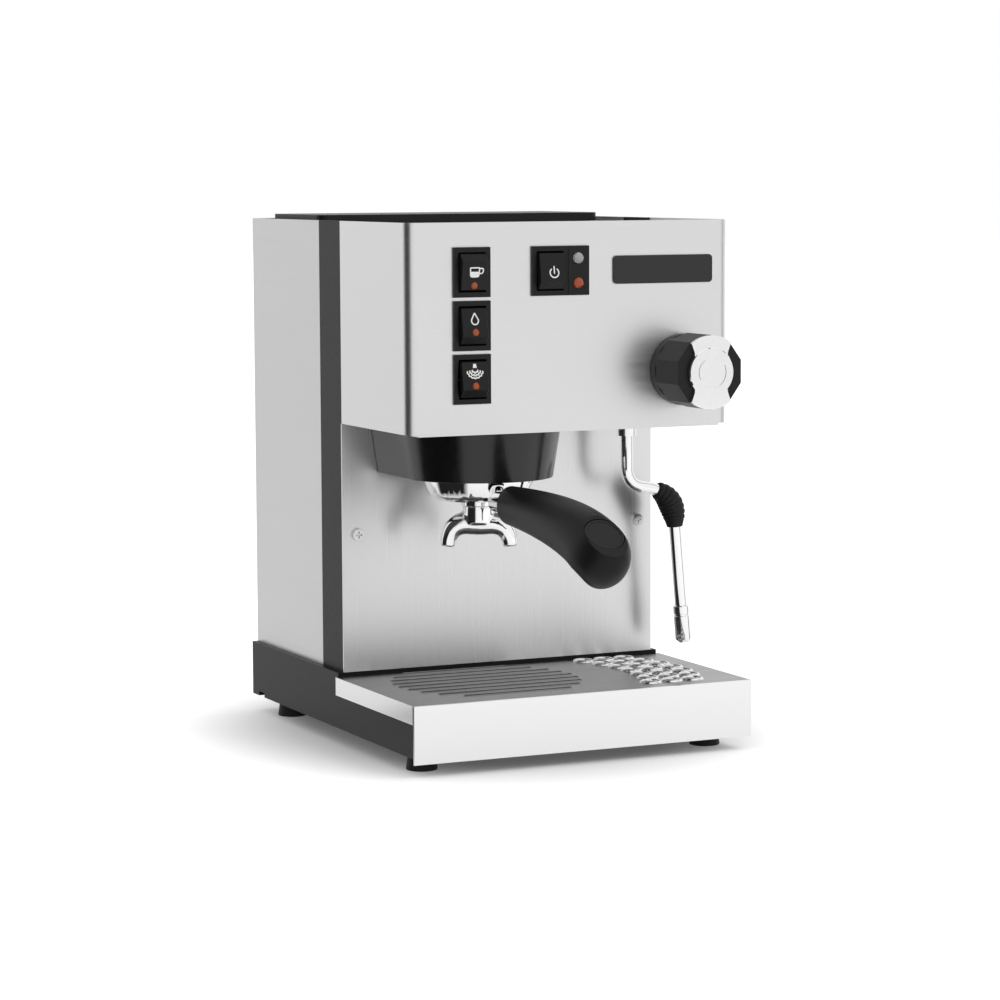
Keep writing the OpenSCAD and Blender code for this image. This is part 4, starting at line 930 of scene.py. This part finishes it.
class ESPRESSO_OT_wand(bpy.types.Operator):
    """Makes the steam wand with its nut, pipe, ribbed grip and nozzle"""

    bl_idname = "espresso.wand"
    bl_label = "Steam wand"

    def execute(self, context):
        sizes = context.scene.espresso_wand
        ball = pivot("wand_tilt") / MM
        corners = [ball, Vector((ball.x, ball.y, sizes.crank_z + 1)),
                   Vector((ball.x + sizes.crank_x, ball.y, sizes.crank_z - 2.5)),
                   Vector((ball.x + sizes.crank_x + sizes.lean, ball.y, sizes.tip_z))]
        down = (corners[3] - corners[2]).normalized()
        nozzle_top = corners[3] - down * sizes.nozzle_l
        upper_bend, lower_bend = 13, 21
        line = rounded_route([*corners[:3], nozzle_top + down * 2], (upper_bend, lower_bend), 16)
        girth = [sizes.pipe_d] * len(line)
        pipe = add_object("wand_tube", loft(line, girth, girth, (1, 0, 0), 48))
        settle(pipe, "chrome", "wand", ("wand_pipe",))
        bend = rounded_route([*corners[1:3], nozzle_top], (lower_bend,), 24)[1:-1]
        bare = 6  # steps of the bend that the grip leaves bare
        grip = line_object("wand_sleeve", [[*bend[bare:], corners[2] + down * sizes.grip_l]])
        run_tree(grip, ribbed_tree(), end_radius=(sizes.pipe_d / 2 + 1.2) * MM,
                 full_radius=sizes.grip_d / 2 * MM, rib_height=sizes.rib_h * MM, ribs=sizes.ribs,
                 material=FINISHES["rubber"])
        settle(grip, "rubber", "wand", ("wand_grip",), smooth=60)
        r, tall, bore_r = sizes.nozzle_d / 2, sizes.nozzle_l, 0.9
        along = place(nozzle_top) @ down.to_track_quat("Z", "Y").to_matrix().to_4x4()
        profile = [(0, 0), (r - 0.6, 0), (r, 0.6), (r, 5.4), (r - 0.5, 5.9), (r - 0.5, 6.7), (r, 7.2),
                   (r, tall - 2.2), (r - 0.3, tall - 1.8), (r - 2.1, tall), (bore_r, tall),
                   (bore_r, tall - 6), (0, tall - 6)]
        nozzle = lathe(profile, along, 64)
        settle(add_object("nozzle", nozzle), "chrome", "wand", ("wand_nozzle",), smooth=30)
        dress("wand_nut", "chrome", 0.4, 3)
        return {"FINISHED"}


class ESPRESSO_OT_switches(bpy.types.Operator):
    """Makes the rocker switches with their frames, pictograms and lenses"""

    bl_idname = "espresso.switches"
    bl_label = "Switches"

    def execute(self, context):
        sizes = context.scene.espresso_controls
        dress("switch_frames", "black", sizes.frame_edge, 3)
        self.make_power_frame(sizes)
        tilt = sizes.rocker_tilt
        for name, lean, drawing, lens_z in (
            ("brew", tilt, self.cup((0.2, 1.1)), -7.4),
            ("water", -tilt, self.drop((0, 3.7)), -4.6),
            ("steam", -tilt, self.steam((0, 5.6)), -4.7),
            ("power", -tilt, self.power((0.8, -1.9)), None),
        ):
            low, high = span("rocker_" + name)
            at = Vector(((low.x + high.x) / 2, *(pivot(name + "_rocker_tip") / MM).yz))
            self.make_rocker(sizes, name, at, lean)
            self.make_pictogram(sizes, name, at, lean, drawing)
            if lens_z is not None:
                self.make_lens(sizes, name, at, lean, lens_z)
        self.make_lamps()
        return {"FINISHED"}

    def make_power_frame(self, sizes):
        """Frame of the power switch, with the seam beside its lamp holder."""
        low, high = span("power_frame")
        lamp_w, half = 14.6, 0.2
        seam = high.x - lamp_w
        corners = [(seam - half, low.z - 1), (seam + half, low.z - 1), (seam + half, high.z + 1),
                   (seam - half, high.z + 1)]
        obj = bench_copy("power_frame", "power_frame_finished")
        cut_out(obj, [slab(corners, 1.5, place((0, low.y + 0.5, 0), (math.pi / 2, 0, 0)))])
        round_edges(obj, sizes.frame_edge / 2, 2)
        settle(obj, "black", BODY_OF["power_frame"], ("power_frame",))

    def make_lamps(self):
        """Faceted domes of the two lamps, clear above and orange below."""
        low, high = span("lamp_lenses")
        r = (high.x - low.x) / 2
        dome = [(0, -7.0), (r, -7.0), (r, 0.0), (0.9 * r, 0.6), (0.62 * r, 1.2), (0.3 * r, 1.5), (0, 1.5)]
        for name, z, finish in (("lamp_clear", high.z - r, "clear"), ("lamp_amber", low.z + r, "amber")):
            stand = place(((low.x + high.x) / 2, low.y + 1.0, z), (math.pi / 2, 0, 0))
            obj = add_object(name, lathe(dome, stand, 12))
            replaced = ("lamp_lenses",) if finish == "clear" else ()
            settle(obj, finish, BODY_OF["lamp_lenses"], replaced, smooth=5)

    def make_rocker(self, sizes, name, at, lean):
        """Rocker with its raised end cut back in a long bevel and its sunk end in a short one."""
        half, out, deep = sizes.rocker_half, sizes.rocker_out, 7
        long_bevel, short_bevel = 4.4, 1.4
        top, bottom = (long_bevel, short_bevel) if lean > 0 else (short_bevel, long_bevel)
        outline = [(deep, 2 - half), (-0.5, -half), (-out, bottom - half), (-out, half - top), (-0.5, half),
                   (deep, half - 2)]
        turned = Matrix(((0, 0, 1), (1, 0, 0), (0, 1, 0))).to_4x4()
        stand = place(at, (lean, 0, 0)) @ place((-sizes.rocker_w / 2, 0, 0)) @ turned
        node = "rocker_" + name
        obj = add_object(node + "_finished", slab(outline, sizes.rocker_w, stand))
        round_edges(obj, sizes.rocker_edge, 3)
        settle(obj, "black", BODY_OF[node], (node,))

    def make_lens(self, sizes, name, at, lean, z):
        """Domed lens on a rocker's face."""
        r = sizes.lens_r
        dome = [(0, -1.0), (r, -1.0), (r, 0.1), (0.93 * r, 0.45), (0.7 * r, 0.85), (0.38 * r, 1.1), (0, 1.2)]
        stand = place(at, (lean, 0, 0)) @ place((0, -sizes.rocker_out, z), (math.pi / 2, 0, 0))
        obj = add_object("lens_" + name, lathe(dome, stand, 32))
        settle(obj, "amber", BODY_OF["rocker_" + name])

    def make_pictogram(self, sizes, name, at, lean, drawing):
        """Thin raised print of a drawing of lines on a rocker's face."""
        lines, fills = drawing
        line = line_object("print_" + name, [[(x, y, 0) for x, y in outline] for outline in lines])
        run_tree(line, bead_tree(), bead_radius=sizes.icon_line / 2 * MM, material=FINISHES["icon"])
        parts = [bmesh.new()] + [slab(outline, 0.5, place((0, 0, -0.25))) for outline in fills]
        parts[0].from_mesh(line.data)
        bpy.data.objects.remove(line)
        bm = merge(parts)
        flat = Matrix.Diagonal((1, 1, 0.3, 1))
        bm.transform(place(at, (lean, 0, 0)) @ place((0, -sizes.rocker_out, 0), (math.pi / 2, 0, 0)) @ flat)
        node = "rocker_" + name
        settle(add_object("print_" + name, bm), "icon", BODY_OF[node], smooth=60)

    def cup(self, at):
        """Cup with its handle to the right and its lower half filled."""
        x, y = at
        bowl = fillet([(x - 3.4, y + 2.6, 0), (x - 3.0, y - 3.0, 1.2), (x + 2.4, y - 3.0, 1.2),
                       (x + 2.8, y + 2.6, 0)])
        ear = fillet([(x + 2.7, y + 2.0, 0), (x + 5.6, y + 2.4, 1.6), (x + 5.0, y - 1.0, 1.4),
                      (x + 2.6, y - 0.9, 0)])
        rim = [(x - 3.4, y + 2.6), (x + 2.8, y + 2.6)]
        fill = [(x - 3.2, y + 0.2), (x + 2.6, y + 0.2), (x + 2.2, y - 2.9), (x - 2.8, y - 2.9)]
        return [bowl, rim, ear], [fill]

    def drop(self, at):
        """Outline of a drop."""
        x, y = at
        r = 2.3
        turns = [math.radians(a) for a in range(150, 391, 10)]
        round_end = [(x + r * math.cos(t), y - 1.2 + r * math.sin(t)) for t in turns]
        return [[(x, y + 3.6), *round_end, (x, y + 3.6)]], []

    def steam(self, at):
        """Nozzle over three nested rows of scallops."""
        x, y = at
        lines = [[(x + 0.5 * k, y + 3.4), (x + 0.9 * k, y + 0.9)] for k in (-1, 0, 1)]
        for radius, bumps in ((2.3, 3), (4.0, 5), (5.7, 7)):
            row = []
            for k in range(bumps * 8 + 1):
                share = k / (bumps * 8)
                turn = math.radians(192 + 156 * share)
                reach = radius - 0.75 + 0.75 * abs(math.sin(math.pi * bumps * share))
                row.append((x + reach * math.cos(turn), y + reach * math.sin(turn)))
            lines.append(row)
        return lines, []

    def power(self, at):
        """Open ring with a bar through its gap."""
        x, y = at
        r = 2.95
        turns = [math.radians(a) for a in range(125, 416, 10)]
        ring = [(x + r * math.cos(t), y + r * math.sin(t)) for t in turns]
        return [ring, [(x, y + 4.2), (x, y - 0.6)]], []


class ESPRESSO_OT_badge(bpy.types.Operator):
    """Makes the bare badge plate"""

    bl_idname = "espresso.badge"
    bl_label = "Badge plate"

    def execute(self, context):
        dress("badge_plate", "gloss", 0.4, 3)
        return {"FINISHED"}


class ESPRESSO_OT_screws(bpy.types.Operator):
    """Finishes the screws"""

    bl_idname = "espresso.screws"
    bl_label = "Screws"

    def execute(self, context):
        dress("backsplash_screws", "basket", 0.5)
        dress("back_screws", "zinc", 0.3)
        return {"FINISHED"}


class ESPRESSO_OT_inside(bpy.types.Operator):
    """Finishes the pieces inside the casing"""

    bl_idname = "espresso.inside"
    bl_label = "Inside"

    def execute(self, context):
        for finish, nodes in {
            "brass": ("boiler", "steam_valve", "water_pump"),
            "copper": ("pressure_pipe", "steam_pipe"),
            "zinc": ("boiler_bolts", "heating_element", "foot_screws", "screen_screw", "valve_spindle"),
            "paint": ("group_bracket",),
            "side": ("head_floor",),
            "basket": ("filter_basket", "basket_spring", "shower_screen", "drain_tube"),
            "black": ("thermostats", "solenoid_valve", "wand_ring"),
            "rubber": ("group_gasket", "pump_mounts"),
            "tank": ("water_tank",),
            "hose": ("tank_hose", "pump_hose"),
        }.items():
            for node in nodes:
                paint(node, finish)
        return {"FINISHED"}


# Dark screens that only gloss shows: azimuth from straight in front to the right, and half width, in degrees
SCREENS = ((-80.0, 33.0), (72.0, 5.0))


class ESPRESSO_OT_stage(bpy.types.Operator):
    """Makes the pale floor, the soft light and the camera"""

    bl_idname = "espresso.stage"
    bl_label = "Stage"

    def execute(self, context):
        studio = context.scene.espresso_studio
        self.make_camera(context, studio)
        self.make_floor(studio)
        self.make_light(context, studio)
        self.make_world(context, studio)
        context.scene.view_settings.view_transform = "Standard"
        return {"FINISHED"}

    def make_camera(self, context, studio):
        """Camera at its place, turned by its yaw, pitch and roll."""
        level = math.cos(studio.pitch)
        forward = Vector((math.sin(studio.yaw) * level, math.cos(studio.yaw) * level,
                          -math.sin(studio.pitch)))
        right = Vector((math.cos(studio.yaw), -math.sin(studio.yaw), 0))
        up = right.cross(forward)
        rolled_right = right * math.cos(studio.roll) + up * math.sin(studio.roll)
        rolled_up = up * math.cos(studio.roll) - right * math.sin(studio.roll)
        data = bpy.data.cameras.new("camera")
        data.lens = studio.lens
        data.sensor_width = 36.0
        data.clip_end = 100.0
        camera = bpy.data.objects.new("camera", data)
        axes = Matrix((rolled_right, rolled_up, -forward)).transposed().to_4x4()
        camera.matrix_world = Matrix.Translation(Vector(studio.camera_at)) @ axes
        context.scene.collection.objects.link(camera)
        context.scene.camera = camera

    def seen_rays(self, tree):
        """Socket that is 1 for rays from the camera, from gloss and through glass."""
        path = tree.nodes.new("ShaderNodeLightPath")
        seen = math_node(tree, "MAXIMUM", path.outputs["Is Camera Ray"], path.outputs["Is Glossy Ray"])
        return math_node(tree, "MAXIMUM", seen, path.outputs["Is Transmission Ray"])

    def dark_share(self, tree, direction):
        """Socket that is 1 where a direction from the machine points at one of the dark screens around it."""
        parts = tree.nodes.new("ShaderNodeSeparateXYZ")
        tree.links.new(direction, parts.inputs["Vector"])
        front = math_node(tree, "MULTIPLY", parts.outputs["Y"], -1.0)
        azimuth = math_node(tree, "ARCTAN2", parts.outputs["X"], front)
        share = 0.0
        for centre, half in SCREENS:
            off = math_node(tree, "ABSOLUTE", math_node(tree, "SUBTRACT", azimuth, math.radians(centre)))
            edges = (math.radians(0.8 * half), math.radians(1.2 * half))
            share = math_node(tree, "MAXIMUM", share, range_node(tree, off, edges, (1.0, 0.0), smooth=True))
        path = tree.nodes.new("ShaderNodeLightPath")
        return math_node(tree, "MULTIPLY", share, path.outputs["Is Glossy Ray"])

    def make_floor(self, studio):
        """Pale floor that glows bright away from the machine; its glow fades close to it, a painted shade in an
        ellipse that keeps its shadow dark there.
        """
        reach_x, reach_y = 0.15, 0.17  # half axes of the ellipse of painted shade around the machine, the unit of the floor's distances
        bm = bmesh.new()
        bmesh.ops.create_grid(bm, x_segments=1, y_segments=1, size=12.0)
        floor = add_object("floor", bm)
        material, shader = principled("pale_floor", studio.floor, Roughness=0.9)
        tree = material.node_tree
        add_grain(material, shader, (4, 4, 4), 0.01, (0.85, 0.95), 0.0)
        distance = tree.nodes.new("ShaderNodeVectorMath")
        distance.operation = "LENGTH"
        tree.links.new(scaled_place(tree, (1 / reach_x, 1 / reach_y, 1.0)), distance.inputs[0])
        # Painted shade: the floor's glow for the camera drops from 0.62 far away to 0.08 inside the ellipse around
        # the machine.
        floor_glow_fading_to_painted_shade = range_node(tree, distance.outputs["Value"], (0.75, 1.6), (0.08, 0.62), smooth=True)
        glow = tree.nodes.new("ShaderNodeEmission")
        path = tree.nodes.new("ShaderNodeLightPath")
        seen = math_node(tree, "MAXIMUM", path.outputs["Is Camera Ray"], path.outputs["Is Transmission Ray"])
        gloss = math_node(tree, "MULTIPLY", path.outputs["Is Glossy Ray"], studio.floor_gloss)
        tree.links.new(math_node(tree, "ADD", math_node(tree, "MULTIPLY", seen, floor_glow_fading_to_painted_shade), gloss),
                       glow.inputs["Strength"])
        pale = tree.nodes.new("ShaderNodeAddShader")
        tree.links.new(shader.outputs["BSDF"], pale.inputs[0])
        tree.links.new(glow.outputs["Emission"], pale.inputs[1])
        screen = tree.nodes.new("ShaderNodeBsdfDiffuse")
        screen.inputs["Color"].default_value = (0.02, 0.02, 0.02, 1.0)
        coordinates = tree.nodes.new("ShaderNodeTexCoord")
        dark = self.dark_share(tree, coordinates.outputs["Object"])
        away = range_node(tree, distance.outputs["Value"], (1.1, 1.7))
        pick = tree.nodes.new("ShaderNodeMixShader")
        tree.links.new(math_node(tree, "MULTIPLY", dark, away), pick.inputs["Fac"])
        tree.links.new(pale.outputs["Shader"], pick.inputs[1])
        tree.links.new(screen.outputs["BSDF"], pick.inputs[2])
        tree.links.new(pick.outputs["Shader"], tree.nodes["Material Output"].inputs["Surface"])
        floor.data.materials.append(material)

    def make_light(self, context, studio):
        """Large soft light that no surface mirrors."""
        data = bpy.data.lights.new("key_light", "AREA")
        data.shape = "SQUARE"
        data.size = studio.key_size
        data.energy = studio.key
        light = bpy.data.objects.new("key_light", data)
        light.location = studio.key_at
        machine = Vector((0, 0, 0.15))
        light.rotation_euler = (machine - light.location).to_track_quat("-Z", "Y").to_euler()
        light.visible_glossy = False
        context.scene.collection.objects.link(light)

    def make_world(self, context, studio):
        """White surroundings with dark screens that only gloss shows, for the dark lines in chrome."""
        world = bpy.data.worlds.new("soft_white")
        world.use_nodes = True
        tree = world.node_tree
        sky = tree.nodes["Background"]
        sky.inputs["Color"].default_value = (1, 1, 1, 1)
        level = range_node(tree, self.seen_rays(tree), (0.0, 1.0), (studio.fill, 1.0))
        ray = tree.nodes.new("ShaderNodeTexCoord")
        dark = self.dark_share(tree, ray.outputs["Generated"])
        bright = math_node(tree, "SUBTRACT", 1.0, math_node(tree, "MULTIPLY", dark, 0.95))
        tree.links.new(math_node(tree, "MULTIPLY", level, bright), sky.inputs["Strength"])
        context.scene.world = world


PIECES = (
    ESPRESSO_OT_finishes, ESPRESSO_OT_casing, ESPRESSO_OT_drip_tray, ESPRESSO_OT_feet, ESPRESSO_OT_group,
    ESPRESSO_OT_portafilter, ESPRESSO_OT_knob, ESPRESSO_OT_wand, ESPRESSO_OT_switches, ESPRESSO_OT_badge,
    ESPRESSO_OT_screws, ESPRESSO_OT_inside, ESPRESSO_OT_stage,
)


class ESPRESSO_PT_panel(bpy.types.Panel):
    """Lists the sizes and the pieces of the machine"""

    bl_idname = "ESPRESSO_PT_panel"
    bl_label = "Espresso Machine"
    bl_space_type = "VIEW_3D"
    bl_region_type = "UI"
    bl_category = "Espresso"

    def draw(self, context):
        for group in GROUPS:
            box = self.layout.box()
            settings = getattr(context.scene, group)
            for name in settings.__annotations__:
                box.prop(settings, name)
        for piece in PIECES:
            self.layout.operator(piece.bl_idname)


CLASSES = (*GROUPS.values(), *PIECES, ESPRESSO_PT_panel)


def register():
    for cls in CLASSES:
        bpy.utils.register_class(cls)
    for name, group in GROUPS.items():
        setattr(bpy.types.Scene, name, PointerProperty(type=group))


def unregister():
    for name in GROUPS:
        delattr(bpy.types.Scene, name)
    for cls in reversed(CLASSES):
        bpy.utils.unregister_class(cls)


def main():
    register()
    for piece in PIECES:
        group, name = piece.bl_idname.split(".")
        getattr(getattr(bpy.ops, group), name)()


if __name__ == "__main__":
    main()
